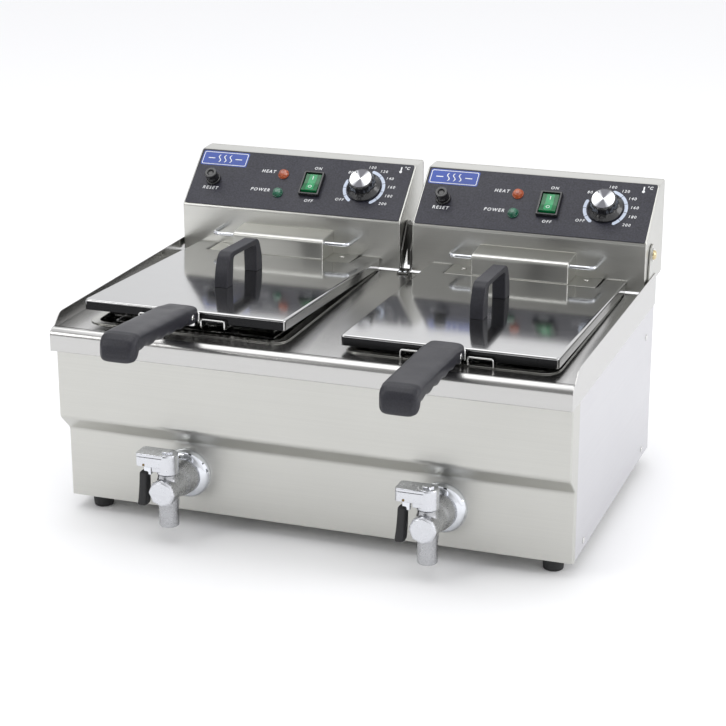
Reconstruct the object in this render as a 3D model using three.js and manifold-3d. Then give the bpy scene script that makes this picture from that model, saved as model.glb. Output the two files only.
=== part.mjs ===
// Countertop twin deep fryer: two oil tanks under one pressed deck, each with a basket, a lid,
// a drain tap and a control head that carries the heating element and tips back on two pivots.
// Millimetres, +Z up, +X to the right when facing the taps, -Y towards the user.
import * as THREE from 'three';
import { mergeVertices } from 'three/addons/utils/BufferGeometryUtils.js';
import Module from 'manifold-3d';

const wasm = await Module();
wasm.setup();

// Driving dimensions ------------------------------------------------------------------------

const HALF_WIDTH = 280; // half the overall width of the deck
const CASE_X = 278.6; // outer face of the casing, just inside the deck's side skirts
const SHEET = 1.2; // sheet steel thickness
const ORIGIN_Y = 143.68; // from the upper front panel back to the middle of the footprint
const STEP = { y: 20.1, zLow: 93.7, zHigh: 112.6 }; // set-back of the lower front panel
const CASE_Z = { bottom: 17, frontTop: 205, sideTop: 195, ledge: 176.2 };
const CASE_BACK = 365;
const CORNER_RETURN = 27.2; // the front panel wraps this far around the corners

const DECK = { top: 212.2, thick: 1.2, back: 320.4, lipBottom: 189, lipFront: -10.5, wallTop: 226 };
const TANK_X = 143.2; // centre of each tank from the middle of the deck
const TANK = { halfX: 102.5, front: 32, back: 311, floor: 43, wall: 1, rimTop: 213.4, rimOut: 9.5 };

const HEAD_X = 141.9; // centre of each control head
const HEAD = { halfX: 134.65, front: 320.9, bottom: 215.2, crease: 269, top: 321.6, slopeBack: 380.6 };
const HEAD_BACK = { casing: 405.2, cover: 406.7, top: 322.5 };
const PIVOT = { y: 347.3, z: 250.6, hole: 3.4, pin: 3 };
const SLOPE = Math.atan2(HEAD.top - HEAD.crease, HEAD.slopeBack - HEAD.front);
const SLOPE_LENGTH = Math.hypot(HEAD.top - HEAD.crease, HEAD.slopeBack - HEAD.front);
const OVERLAY = { gap: 0.3, thick: 0.9 };

// places on the control panel: x from the head's centre, s up the slope
const KNOB = { x: 80.4, s: 42, skirt: 20, cap: 14.6, height: 18.5 };
const SWITCH = { x: 17.2, s: 39.6, halfX: 12.6, halfS: 16.2, throwDeg: 7 };
const LAMP = { x: -21.6, heat: 50.8, power: 24.6, radius: 6.5 };
const RESET = { x: -106, s: 36, radius: 7.2, top: 14.3 };

const HOOD = { halfX: 55.4, front: 285, top: 249.4, floor: 225.6, floorHalfX: 86.4, floorFront: 289 };
const ROD = { y: 292.6, z: 244.3, halfX: 83, radius: 2.3 };

const LID = { halfX: 113.2, back: 319.5, backZ: 225.5, length: 294.1, flange: 11.5, thick: 1 };
const LID_NOTCH = { hoodX: 57, hoodY: -35.9, rodX: 87.6, rodY: -31.9 };

const BASKET = { rim: 221.5, floor: 92, wall: 2.2 };
const BASKET_RIM = { halfX: 92, front: 45, back: 268 };
const BASKET_FOOT = { halfX: 84, front: 82, back: 258 };
const BASKET_PIVOT = { y: 265, z: 221 }; // the back of the basket, which stays put when it sits askew
const GRIP = { halfX: 19.5, root: 20.2 };

const TAP_X = 141.2;
const TAP = { z: 60, stemY: -28, spoutBottom: 19.7, spoutRadius: 10.4 };

// how each side sits at rest: the left basket rides up at the front and lifts the lid with it
const SIDES = [
  { name: 'left', sign: -1, lidTilt: 2.49, basketTilt: 1.98, gripTilt: 2.2 },
  { name: 'right', sign: 1, lidTilt: 0.89, basketTilt: 0, gripTilt: 0 },
];

// Solids ------------------------------------------------------------------------------------

const deg = THREE.MathUtils.degToRad;

// a closed triangle mesh as a solid, turned the right way out if its profile ran backwards
function toSolid(source) {
  const geometry = source.clone();
  geometry.deleteAttribute('normal');
  geometry.deleteAttribute('uv');
  const welded = mergeVertices(geometry, 1e-4);
  const xyz = welded.attributes.position;
  const kept = [];
  for (let i = 0; i < welded.index.count; i += 3) {
    const [a, b, c] = [0, 1, 2].map((k) => welded.index.getX(i + k));
    if (a !== b && b !== c && c !== a) kept.push(a, b, c);
  }
  const p = [0, 1, 2].map(() => new THREE.Vector3());
  let volume = 0;
  for (let i = 0; i < kept.length; i += 3) {
    p.forEach((v, k) => v.fromBufferAttribute(xyz, kept[i + k]));
    volume += p[0].dot(p[1].clone().cross(p[2]));
  }
  if (volume < 0) kept.reverse();
  return new wasm.Manifold(new wasm.Mesh({
    numProp: 3,
    vertProperties: new Float32Array(xyz.array),
    triVerts: new Uint32Array(kept),
  }));
}

function toGeometry(solid) {
  const mesh = solid.getMesh();
  const geometry = new THREE.BufferGeometry();
  geometry.setAttribute('position', new THREE.BufferAttribute(new Float32Array(mesh.vertProperties), 3));
  geometry.setIndex(new THREE.BufferAttribute(new Uint32Array(mesh.triVerts), 1));
  geometry.computeVertexNormals();
  return geometry;
}

const join = (...pieces) => pieces.reduce((whole, piece) => whole.add(piece));
const cut = (whole, ...pieces) => pieces.reduce((rest, piece) => rest.subtract(piece), whole);

function box(x0, x1, y0, y1, z0, z1) {
  const geometry = new THREE.BoxGeometry(x1 - x0, y1 - y0, z1 - z0);
  geometry.translate((x0 + x1) / 2, (y0 + y1) / 2, (z0 + z1) / 2);
  return toSolid(geometry);
}

// a box whose top rectangle differs from its bottom one; each rectangle is [halfX, front, back]
function taperedBox(bottom, top, z0, z1) {
  const geometry = new THREE.BoxGeometry(2, 2, 2);
  const xyz = geometry.attributes.position;
  for (let i = 0; i < xyz.count; i += 1) {
    const [halfX, front, back] = xyz.getZ(i) > 0 ? top : bottom;
    const y = xyz.getY(i) > 0 ? back : front;
    xyz.setXYZ(i, xyz.getX(i) * halfX, y, xyz.getZ(i) > 0 ? z1 : z0);
  }
  return toSolid(geometry);
}

const outline = (points) => new THREE.Shape(points.map(([a, b]) => new THREE.Vector2(a, b)));

// a (y, z) outline drawn out along X
function alongX(points, x0, x1) {
  const geometry = new THREE.ExtrudeGeometry(outline(points), { depth: x1 - x0, bevelEnabled: false });
  const [ex, ey, ez] = [new THREE.Vector3(1, 0, 0), new THREE.Vector3(0, 1, 0), new THREE.Vector3(0, 0, 1)];
  geometry.applyMatrix4(new THREE.Matrix4().makeBasis(ey, ez, ex));
  geometry.translate(x0, 0, 0);
  return toSolid(geometry);
}

// an (x, z) outline drawn back along Y
function alongY(points, y0, y1) {
  const flipped = points.map(([x, z]) => [x, -z]);
  const geometry = new THREE.ExtrudeGeometry(outline(flipped), { depth: y1 - y0, bevelEnabled: false });
  geometry.rotateX(-Math.PI / 2);
  geometry.translate(0, y0, 0);
  return toSolid(geometry);
}

// an (x, y) outline drawn up from z0 to z1
function alongZ(points, z0, z1) {
  const geometry = new THREE.ExtrudeGeometry(outline(points), { depth: z1 - z0, bevelEnabled: false });
  geometry.translate(0, 0, z0);
  return toSolid(geometry);
}

// a turned piece: [radius, height] pairs spun about an axis through `centre`
function turned(profile, axis, centre, sides = 20) {
  const geometry = new THREE.LatheGeometry(profile.map(([r, h]) => new THREE.Vector2(r, h)), sides);
  const turn = new THREE.Quaternion().setFromUnitVectors(new THREE.Vector3(0, 1, 0), axis);
  geometry.applyQuaternion(turn);
  geometry.translate(...centre);
  return toSolid(geometry);
}

const X_AXIS = new THREE.Vector3(1, 0, 0);
const Y_AXIS = new THREE.Vector3(0, 1, 0);
const Z_AXIS = new THREE.Vector3(0, 0, 1);

// a plain round bar or hole from h0 to h1 along an axis through `centre`
function round(radius, h0, h1, axis, centre, sides = 20) {
  return turned([[0, h0], [radius, h0], [radius, h1], [0, h1]], axis, centre, sides);
}

// a curve that runs through its own list of points, with the tangent halved at each of them
class Route extends THREE.Curve {
  constructor(points) {
    super();
    this.points = points;
  }

  getPoint(t, target = new THREE.Vector3()) {
    const last = this.points.length - 1;
    const i = Math.min(Math.floor(t * last), last - 1);
    return target.lerpVectors(this.points[i], this.points[i + 1], t * last - i);
  }

  getPointAt(u, target) {
    return this.getPoint(u, target);
  }

  getTangentAt(u, target = new THREE.Vector3()) {
    const last = this.points.length - 1;
    const i = Math.round(u * last);
    const before = this.points[Math.max(i - 1, 0)];
    const here = this.points[i];
    const after = this.points[Math.min(i + 1, last)];
    const a = new THREE.Vector3().subVectors(here, before).normalize();
    const b = new THREE.Vector3().subVectors(after, here).normalize();
    return target.addVectors(a, b).normalize();
  }
}

// a bent round bar through corner points, each corner rounded by `fillet`
function bentBar(corners, radius, fillet, sides = 8, arc = 3) {
  const p = corners.map((c) => new THREE.Vector3(...c));
  const points = [p[0]];
  for (let i = 1; i < p.length - 1; i += 1) {
    const inward = new THREE.Vector3().subVectors(p[i - 1], p[i]).normalize();
    const onward = new THREE.Vector3().subVectors(p[i + 1], p[i]).normalize();
    const bend = new THREE.QuadraticBezierCurve3(
      p[i].clone().addScaledVector(inward, fillet),
      p[i],
      p[i].clone().addScaledVector(onward, fillet),
    );
    points.push(...bend.getPoints(arc));
  }
  points.push(p[p.length - 1]);
  const ring = Array.from({ length: sides }, (_, k) => {
    const a = (2 * Math.PI * k) / sides;
    return [radius * Math.cos(a), radius * Math.sin(a)];
  });
  const geometry = new THREE.ExtrudeGeometry(outline(ring), {
    steps: points.length - 1,
    extrudePath: new Route(points),
    bevelEnabled: false,
  });
  return toSolid(geometry);
}

// Materials ---------------------------------------------------------------------------------

const steel = () => new THREE.MeshStandardMaterial({ color: 0xcfcec9, roughness: 0.32, metalness: 1 });
const mirrorSteel = () => new THREE.MeshStandardMaterial({ color: 0xdadad8, roughness: 0.1, metalness: 1 });
const wireSteel = () => new THREE.MeshStandardMaterial({ color: 0xc8c8c6, roughness: 0.22, metalness: 1 });
const chrome = () => new THREE.MeshStandardMaterial({ color: 0xe2e4e8, roughness: 0.08, metalness: 1 });
const darkPlastic = () => new THREE.MeshStandardMaterial({ color: 0x3a3a42, roughness: 0.5, metalness: 0 });
const blackPlastic = () => new THREE.MeshStandardMaterial({ color: 0x141417, roughness: 0.3, metalness: 0 });
const rubber = () => new THREE.MeshStandardMaterial({ color: 0x1b1b1d, roughness: 0.8, metalness: 0 });
const printedFilm = () => new THREE.MeshStandardMaterial({ color: 0x44454e, roughness: 0.45, metalness: 0 });
const litGreen = () => new THREE.MeshStandardMaterial({ color: 0x0c8a40, roughness: 0.25, metalness: 0 });
const amber = () => new THREE.MeshStandardMaterial({ color: 0xbe5a28, roughness: 0.15, metalness: 0 });
const green = () => new THREE.MeshStandardMaterial({ color: 0x146e50, roughness: 0.15, metalness: 0 });

function piece(name, solid, material) {
  const mesh = new THREE.Mesh(toGeometry(solid), material);
  mesh.name = name;
  return mesh;
}

// Casing ------------------------------------------------------------------------------------

// stepped front sheet, wrapped around both front corners, with a hole for each drain
function frontPanel() {
  const { bottom, frontTop } = CASE_Z;
  const outer = alongX([
    [STEP.y, bottom], [CORNER_RETURN, bottom], [CORNER_RETURN, frontTop],
    [0, frontTop], [0, STEP.zHigh], [STEP.y, STEP.zLow],
  ], -CASE_X, CASE_X);
  const inner = alongX([
    [STEP.y + SHEET, bottom - 1], [CORNER_RETURN + 1, bottom - 1], [CORNER_RETURN + 1, frontTop + 1],
    [SHEET, frontTop + 1], [SHEET, STEP.zHigh + 0.5], [STEP.y + SHEET, STEP.zLow + 0.5],
  ], -CASE_X + SHEET, CASE_X - SHEET);
  const holes = SIDES.map(({ sign }) => round(11.5, 15, 30, Y_AXIS, [sign * TAP_X, 0, TAP.z], 16));
  return piece('front_panel', cut(outer, inner, ...holes), steel());
}

// both side sheets, the low back sheet and the ledge that the heads tip into
function casingWrap() {
  const { bottom, sideTop, ledge } = CASE_Z;
  const front = CORNER_RETURN + 0.4;
  const rise = DECK.back + 0.4;
  const side = alongX([
    [front, bottom], [CASE_BACK, bottom], [CASE_BACK, sideTop], [front, sideTop],
  ], -CASE_X, CASE_X);
  const hollow = box(-CASE_X + SHEET, CASE_X - SHEET, front - 1, CASE_BACK - SHEET, bottom - 1, 300);
  const aboveLedge = box(-CASE_X + SHEET, CASE_X - SHEET, rise, CASE_BACK + 1, ledge, 300);
  const shelf = box(-CASE_X + SHEET - 0.5, CASE_X - SHEET + 0.5, rise, CASE_BACK - 0.5, ledge - SHEET, ledge);
  const riser = box(-CASE_X + SHEET - 0.5, CASE_X - SHEET + 0.5, rise, rise + SHEET, ledge - SHEET, 210.5);
  const riserTrim = box(-CASE_X - 1, CASE_X + 1, rise - 1, rise + SHEET + 1, sideTop, 211);
  const narrowRiser = box(-CASE_X + SHEET, CASE_X - SHEET, rise, rise + SHEET, sideTop - 1, 210.5);
  const sheets = join(cut(side, hollow, aboveLedge), shelf, cut(riser, riserTrim), narrowRiser);
  return piece('casing_wrap', sheets, steel());
}

function basePlate() {
  const plate = box(-276.8, 276.8, 21.8, 363.2, 17.3, 18.5);
  const vents = [-150, -100, -50, 50, 100, 150].map((x) => box(x - 4, x + 4, 150, 240, 16, 20));
  return piece('base_plate', cut(plate, ...vents), steel());
}

function foot(name, x, y) {
  const mesh = piece(name, turned([
    [0, 3], [4, 3], [4, 0], [10.4, 0], [11.6, 13], [11.6, 17], [0, 17],
  ], Z_AXIS, [0, 0, 0], 16), rubber());
  mesh.position.set(x, y, 0);
  return mesh;
}

// pressed deck: rolled front lip, two tank openings, raised side walls and a turned-down back edge
function deckTop() {
  const { top, thick, back, lipBottom, lipFront, wallTop } = DECK;
  const sheet = box(-279.5, 279.5, 9, back, top - thick, top);
  const lip = alongX([
    [10, top], [3, top + 0.2], [-1, 213.8], [-5, 213.3], [-8.3, 211], [-10.1, 207.5], [lipFront, 203.5],
    [lipFront, lipBottom], [-0.6, lipBottom], [-0.6, lipBottom + thick], [lipFront + thick, lipBottom + thick],
    [lipFront + thick, 203.5], [-9, 206.9], [-7.4, 210], [-4.4, 212.1], [-1.1, 212.6], [3, top - 1], [10, top - thick],
  ], -279.5, 279.5);
  const wallOutline = [
    [lipFront, lipBottom], [CASE_BACK, lipBottom], [CASE_BACK, wallTop], [12, wallTop],
    [-1, 213.8], [-5, 213.3], [-8.3, 211], [-10.1, 207.5], [lipFront, 203.5],
  ];
  const walls = [
    alongX(wallOutline, -HALF_WIDTH, -HALF_WIDTH + 1),
    alongX(wallOutline, HALF_WIDTH - 1, HALF_WIDTH),
  ];
  const turnedDown = box(-279.5, 279.5, back - SHEET, back, 200, top);
  const openings = SIDES.map(({ sign }) => {
    const x = sign * TANK_X;
    return box(x - 105, x + 105, 29.5, 313.5, 200, 230);
  });
  return piece('deck_top', cut(join(sheet, lip, ...walls, turnedDown), ...openings), mirrorSteel());
}

// side plate that holds the outer end of a head's pivot
function outerBracket(name, sign) {
  const arc = Array.from({ length: 7 }, (_, k) => {
    const a = (Math.PI * k) / 6;
    return [PIVOT.y + 12.5 * Math.cos(a), PIVOT.z + 12.5 * Math.sin(a)];
  });
  const plate = alongX([[331, 196], [363.5, 196], [363.5, 226], ...arc, [331, 226]], 277.1, 278.7);
  const solid = cut(plate, round(PIVOT.hole, 270, 285, X_AXIS, [0, PIVOT.y, PIVOT.z], 12));
  return piece(name, sign > 0 ? solid : mirrored(solid), steel());
}

// the same solid on the other side of the YZ plane
function mirrored(solid) {
  return solid.mirror([1, 0, 0]);
}

// upright between the two heads, on the back of the deck, with a pin into each head
function centreBracket() {
  const cheek = [
    [306, 212.6], [326, 212.6], [338, 232], [361, 241], [361, 257], [352, 264], [340, 264], [322, 236], [321.5, 216],
    [306, 214.4],
  ];
  const solid = join(
    alongX(cheek, -6.2, -4.4),
    alongX(cheek, 4.4, 6.2),
    box(-6.2, 6.2, 306, 325, 212.6, 214.4),
    round(PIVOT.pin, -15, 15, X_AXIS, [0, PIVOT.y, PIVOT.z], 12),
  );
  return piece('centre_pivot_bracket', solid, steel());
}

function pivotBolt(name, sign) {
  const solid = turned([
    [0, 268], [5, 268], [5, 271.5], [PIVOT.pin, 271.5], [PIVOT.pin, 279],
    [5.4, 279], [5.4, 280.6], [3.6, 282.6], [0, 282.6],
  ], X_AXIS, [0, PIVOT.y, PIVOT.z], 12);
  return piece(name, sign > 0 ? solid : mirrored(solid), wireSteel());
}

// Tank and tap ------------------------------------------------------------------------------

// open oil tank with a flat rim and a drain pipe that reaches the hole in the front panel
function tank(name, sign) {
  const { halfX, front, back, floor, wall, rimTop, rimOut } = TANK;
  const drain = [sign * (TAP_X - TANK_X), 0, TAP.z];
  const shell = join(
    box(-halfX - wall, halfX + wall, front - wall, back + wall, floor - wall, rimTop),
    box(-halfX - rimOut, halfX + rimOut, front - 9, back + 8.5, rimTop - 0.9, rimTop),
    round(10, 20.4, front - 0.5, Y_AXIS, drain, 16),
  );
  const inside = box(-halfX, halfX, front, back, floor, rimTop + 5);
  const bore = round(7, 19, front + 1, Y_AXIS, drain, 16);
  return piece(name, cut(shell, inside, bore), steel());
}

// domed escutcheon behind the tap; heights run forwards from the lower front panel
function tapFlange(name) {
  const forwards = new THREE.Vector3(0, -1, 0);
  return piece(name, turned([
    [12.9, 0.3], [27, 0.3], [27, 2], [25.6, 4.4], [21, 7.2], [15.5, 8.6], [12.9, 8.6], [12.9, 0.3],
  ], forwards, [0, STEP.y, TAP.z], 24), chrome());
}

function tapBody(name) {
  const forwards = new THREE.Vector3(0, -1, 0);
  const barrel = turned([
    [0, 0.5], [12.5, 0.5], [12.5, 9.2], [19, 9.2], [16, 34], [14, 40], [14, 63], [12, 65.1], [0, 65.1],
  ], forwards, [0, STEP.y, TAP.z]);
  const at = [0, TAP.stemY, 0];
  const solid = cut(
    join(
      barrel,
      round(TAP.spoutRadius, TAP.spoutBottom, TAP.z, Z_AXIS, at),
      round(10.5, TAP.z, 77, Z_AXIS, at),
    ),
    round(7.6, TAP.spoutBottom - 1, 45, Z_AXIS, at, 12),
    round(6.5, -1, 30, forwards, [0, STEP.y, TAP.z], 12),
  );
  return piece(name, solid, chrome());
}

// quarter-turn lever: hub on the tap's stem, arm to the left with a forked end and its pin
function tapLever(name) {
  const hub = turned([[0, 77.4], [12, 77.4], [13, 79], [13, 98], [12, 99.5], [0, 99.5]], Z_AXIS, [0, 0, 0]);
  const arm = box(-31.5, 0, -8, 8, 85, 99.5);
  const nut = round(6.2, 99, 102, Z_AXIS, [0, 0, 0], 6);
  const fork = box(-33, -14, -3, 3, 80, 96);
  const pin = round(1.7, -8.6, 8.6, Y_AXIS, [-22, 0, 87.4], 10);
  const mesh = piece(name, join(cut(join(hub, arm, nut), fork), pin), chrome());
  mesh.position.set(0, TAP.stemY, 0);
  return mesh;
}

// handle hanging from the pin in the fork: a flat link and a plastic grip
function tapGrip(name) {
  const link = cut(box(-4, 4, -2.4, 2.4, -14, 4), round(2.1, -5, 5, Y_AXIS, [0, 0, 0], 10));
  const handle = alongZ([
    [-9.4, -5], [-8, -6.5], [-0.9, -6.5], [0.6, -5], [0.6, 5], [-0.9, 6.5], [-8, 6.5], [-9.4, 5],
  ], -48, -11.2);
  const mesh = piece(name, join(link, handle), darkPlastic());
  mesh.position.set(-22, TAP.stemY, 87.4);
  return mesh;
}

// Basket ------------------------------------------------------------------------------------

// open tapered basket with a stout rim, two hooks behind and the handle's bracket in front
function basket(name) {
  const { rim, floor, wall } = BASKET;
  const foot3 = [BASKET_FOOT.halfX, BASKET_FOOT.front, BASKET_FOOT.back];
  const rim3 = [BASKET_RIM.halfX, BASKET_RIM.front, BASKET_RIM.back];
  const shrink = ([halfX, front, back], by) => [halfX - by, front + by, back - by];
  const shell = join(
    taperedBox(foot3, rim3, floor, rim),
    taperedBox(shrink(rim3, -1.5), shrink(rim3, -1.5), rim - 4.5, rim),
  );
  const inside = taperedBox(shrink(foot3, wall), shrink(rim3, wall), floor + wall, rim + 0.01);
  const bracket = join(
    box(-15, -11, 21, 47, 214, 218),
    box(11, 15, 21, 47, 214, 218),
    box(-15, 15, 21, 23.4, 214, 231),
  );
  const hooks = [-40, 40].map((x) => box(x - 2, x + 2, 268, 279, 217.4, 221.4));
  return piece(name, join(cut(shell, inside), bracket, ...hooks), wireSteel());
}

// long grip in front of the tank, bent down at its free end, with finger scallops underneath
function basketHandle(name) {
  const scallops = [];
  for (let y = -112; y <= -16; y += 24) {
    scallops.push([y, 219.4], [y + 6, 221.6], [y + 18, 221.6]);
  }
  const { halfX, root } = GRIP;
  const side = alongX([
    [-131, 212], [-129, 210.4], [-121.5, 210.4], [-119.8, 212.5], [-118, 219.4],
    ...scallops, [10, 217.6], [root, 217.6], [root, 236.4], [-2, 238.2], [-116, 238.6],
    [-123, 236.6], [-128, 231], [-130.4, 222],
  ], -halfX, halfX);
  const front = alongY([
    [-halfX + 2, 209], [halfX - 2, 209], [halfX, 214], [halfX, 235], [halfX - 3.5, 239], [-halfX + 3.5, 239],
    [-halfX, 235], [-halfX, 214],
  ], -132, 22);
  const plan = alongZ([
    [-halfX, 22], [-halfX, -128], [-halfX + 3, -131.5], [halfX - 3, -131.5], [halfX, -128], [halfX, 22],
  ], 205, 240);
  return piece(name, side.intersect(front).intersect(plan), darkPlastic());
}

// Lid ---------------------------------------------------------------------------------------

// shallow tray lid, drawn from its back top edge; the notch clears the element hood and rod
function lid(name) {
  const { halfX, length, flange, thick } = LID;
  const { hoodX, hoodY, rodX, rodY } = LID_NOTCH;
  const plan = [
    [-halfX, -length], [halfX, -length], [halfX, 0], [rodX, 0], [rodX, rodY], [hoodX, rodY], [hoodX, hoodY],
    [-hoodX, hoodY], [-hoodX, rodY], [-rodX, rodY], [-rodX, 0], [-halfX, 0],
  ];
  const skirt = cut(
    alongZ(plan, -flange, -thick / 2),
    box(-halfX + thick, halfX - thick, -length + thick, -thick, -flange - 1, 1),
    box(-rodX, rodX, hoodY - 1, 1, -flange - 1, 1),
  );
  return piece(name, join(alongZ(plan, -thick, 0), skirt), mirrorSteel());
}

function lidHandle(name) {
  const solid = alongX([
    [-50, 0.3], [-33, 0.3], [-31, 31], [31, 31], [33, 0.3], [50, 0.3], [49, 16], [40, 37], [-40, 37], [-49, 16],
  ], -7.5, 7.5);
  const mesh = piece(name, solid, darkPlastic());
  mesh.position.set(0, -LID.length / 2, 0);
  return mesh;
}

// Control head ------------------------------------------------------------------------------

// the head's side outline up to `back`, pulled in by `inset`
function headOutline(inset, back) {
  const { front, bottom, crease, top, slopeBack } = HEAD;
  return [
    [front + inset, bottom + inset],
    [back, bottom + inset],
    [back, HEAD_BACK.top - inset],
    [slopeBack + inset * Math.tan(SLOPE / 2), top - inset],
    [front + inset, crease - (inset * (1 - Math.sin(SLOPE))) / Math.cos(SLOPE)],
  ];
}

// folded head casing, open at the back, with the holes for its controls, pivots and element
function headCasing(name) {
  const { halfX } = HEAD;
  const outer = alongX(headOutline(0, HEAD_BACK.casing), -halfX, halfX);
  const inner = alongX(headOutline(SHEET, HEAD_BACK.casing + 1), -halfX + SHEET, halfX - SHEET);
  const pivots = round(PIVOT.hole, -halfX - 2, halfX + 2, X_AXIS, [0, PIVOT.y, PIVOT.z], 12);
  const passage = box(-45, 45, HEAD.front - 2, HEAD.front + 3, 230, 246);
  return piece(name, cut(outer, inner, pivots, passage, ...onPanel(panelHoles(-6, 3))), steel());
}

// the cut-outs that the controls pass through, in the panel's own frame
function panelHoles(z0, z1) {
  return [
    round(4.2, z0, z1, Z_AXIS, [KNOB.x, KNOB.s, 0], 10),
    round(4.2, z0, z1, Z_AXIS, [RESET.x, RESET.s, 0], 10),
    round(5.8, z0, z1, Z_AXIS, [LAMP.x, LAMP.heat, 0], 10),
    round(5.8, z0, z1, Z_AXIS, [LAMP.x, LAMP.power, 0], 10),
    box(SWITCH.x - 11.4, SWITCH.x + 11.4, SWITCH.s - 15.3, SWITCH.s + 15.3, z0, z1),
  ];
}

// where the panel's frame stands: x across, y up the slope, z out of the printed face
function panelFrame() {
  const lift = OVERLAY.gap + OVERLAY.thick;
  const frame = new THREE.Group();
  frame.rotation.x = SLOPE;
  frame.position.set(0, HEAD.front - lift * Math.sin(SLOPE), HEAD.crease + lift * Math.cos(SLOPE));
  return frame;
}

// panel-frame solids moved into the head's frame
function onPanel(solids) {
  const frame = panelFrame();
  frame.updateMatrix();
  return solids.map((solid) => solid.transform(frame.matrix.elements));
}

function controlPanel(name) {
  const film = box(-132.6, 132.6, 0.8, SLOPE_LENGTH - 0.8, -OVERLAY.thick, 0);
  return piece(name, cut(film, ...panelHoles(-3, 3)), printedFilm());
}

function headRearCover(name) {
  const { halfX, bottom } = HEAD;
  const plate = box(-halfX, halfX, HEAD_BACK.casing + 0.3, HEAD_BACK.cover, bottom, HEAD_BACK.top);
  return piece(name, cut(plate, round(6.4, 400, 410, Y_AXIS, [-95, 0, 290], 12)), steel());
}

// gland where the mains lead enters the head, with a nut inside and a dome outside
function cableGland(name) {
  const { casing, cover } = HEAD_BACK;
  return piece(name, turned([
    [4, casing - 6], [9, casing - 6], [9, casing - 0.2], [6, casing - 0.2], [6, cover + 0.3], [9.5, cover + 0.3],
    [9.5, cover + 5], [7.5, cover + 12], [4, cover + 12], [4, casing - 6],
  ], Y_AXIS, [-95, 0, 290], 12), blackPlastic());
}

function thermostatKnob(name) {
  const { x, s, skirt, cap, height } = KNOB;
  const body = turned([
    [0, -10], [3.5, -10], [3.5, 0.9], [skirt, 0.9], [skirt, 2.4], [16.2, 7.5], [cap, height - 1],
    [cap - 1, height], [0, height],
  ], Z_AXIS, [0, 0, 0], 24);
  const rib = box(-0.9, 0.9, 12, 19.4, 2, 6.4);
  const mesh = piece(name, join(body, rib), blackPlastic());
  mesh.rotation.z = deg(131);
  mesh.position.set(x, s, 0);
  return mesh;
}

// rocker switch frame with the switch's closed body behind the panel
function switchBezel(name) {
  const { x, s, halfX, halfS } = SWITCH;
  const solid = cut(
    join(box(-halfX, halfX, -halfS, halfS, 0.3, 2.6), box(-11, 11, -14.9, 14.9, -13, 1)),
    box(-10, 10, -13.9, 13.9, -12, 3),
  );
  const mesh = piece(name, solid, blackPlastic());
  mesh.position.set(x, s, 0);
  return mesh;
}

// see-saw rocker, resting with its upper end pressed in
function switchRocker(name) {
  const solid = alongX([
    [-8, -4], [8, -4], [12.9, 3], [12.6, 8], [0, 6.2], [-12.6, 8], [-12.9, 3],
  ], -9.6, 9.6);
  const mesh = piece(name, solid, litGreen());
  mesh.rotation.x = deg(-SWITCH.throwDeg);
  mesh.position.set(SWITCH.x, SWITCH.s, -3);
  return mesh;
}

// screwed collar around the safety cut-out's reset button
function resetCollar(name) {
  const mesh = piece(name, turned([
    [4.2, 0.3], [8.9, 0.3], [8.9, 3], [8.3, 3.8], [7.6, 3.8], [7.6, 1.2], [4.2, 1.2], [4.2, 0.3],
  ], Z_AXIS, [0, 0, 0], 16), blackPlastic());
  mesh.position.set(RESET.x, RESET.s, 0);
  return mesh;
}

function resetButton(name) {
  const { radius, top } = RESET;
  const mesh = piece(name, turned([
    [0, -8], [3.5, -8], [3.5, 4], [radius, 4], [radius, top - 1], [radius - 1, top],
    [3.8, top], [3.2, top - 2.4], [0, top - 2.4],
  ], Z_AXIS, [0, 0, 0], 16), blackPlastic());
  mesh.position.set(RESET.x, RESET.s, 0);
  return mesh;
}

function pilotLamp(name, s, material) {
  const r = LAMP.radius;
  const mesh = piece(name, turned([
    [0, -9], [5.2, -9], [5.2, 0.3], [r, 0.3], [r, 1.5], [r - 0.8, 3.4], [r - 3.2, 4.8], [0, 5.2],
  ], Z_AXIS, [0, 0, 0], 16), material);
  mesh.position.set(LAMP.x, s, 0);
  return mesh;
}

// Element, hood and rod ---------------------------------------------------------------------

// folded cover over the element's stems, on a floor plate that fills the lid's notch
function elementHood(name) {
  const { halfX, front, top, floor, floorHalfX, floorFront } = HOOD;
  const back = HEAD.front - 0.3;
  const profile = (inset, z) => [
    [front + inset, z], [back + inset, z], [back + inset, top + 3 - inset],
    [front + 5, top - inset * 0.9], [front + 1.5 + inset * 0.6, top - 1.4 - inset * 0.6], [front + inset, top - 5],
  ];
  const cover = cut(
    alongX(profile(0, floor - 0.5), -halfX, halfX),
    alongX(profile(SHEET, floor - 1), -halfX + SHEET, halfX - SHEET),
    round(ROD.radius + 0.5, -halfX - 1, halfX + 1, X_AXIS, [0, ROD.y, ROD.z], 12),
  );
  const plate = join(
    box(-halfX, halfX, front, back, floor - 1, floor),
    box(-floorHalfX, floorHalfX, floorFront, back, floor - 1, floor),
  );
  const stems = [-25, 25].map((x) => round(4.6, floor - 2, floor + 1, Z_AXIS, [x, 302, 0], 12));
  return piece(name, cut(join(cover, plate), ...stems), steel());
}

function hangerRod(name) {
  const { y, z, halfX, radius } = ROD;
  const back = HEAD.front - 0.3;
  return piece(name, bentBar([[-halfX, back, z], [-halfX, y, z], [halfX, y, z], [halfX, back, z]], radius, 8), wireSteel());
}

// sheathed element: down both stems and in a folded loop just above the tank floor
function heatingElement(name) {
  const low = 52;
  const half = [
    [-25, 335, 238], [-25, 302, 238], [-25, 302, low], [-25, 283, low], [-70, 283, low], [-70, 111, low],
    [-28, 111, low], [-28, 250, low],
  ];
  const other = half.slice().reverse().map(([x, y, z]) => [-x, y, z]);
  return piece(name, bentBar([...half, ...other], 4, 9, 6), wireSteel());
}

// Assembly ----------------------------------------------------------------------------------

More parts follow.
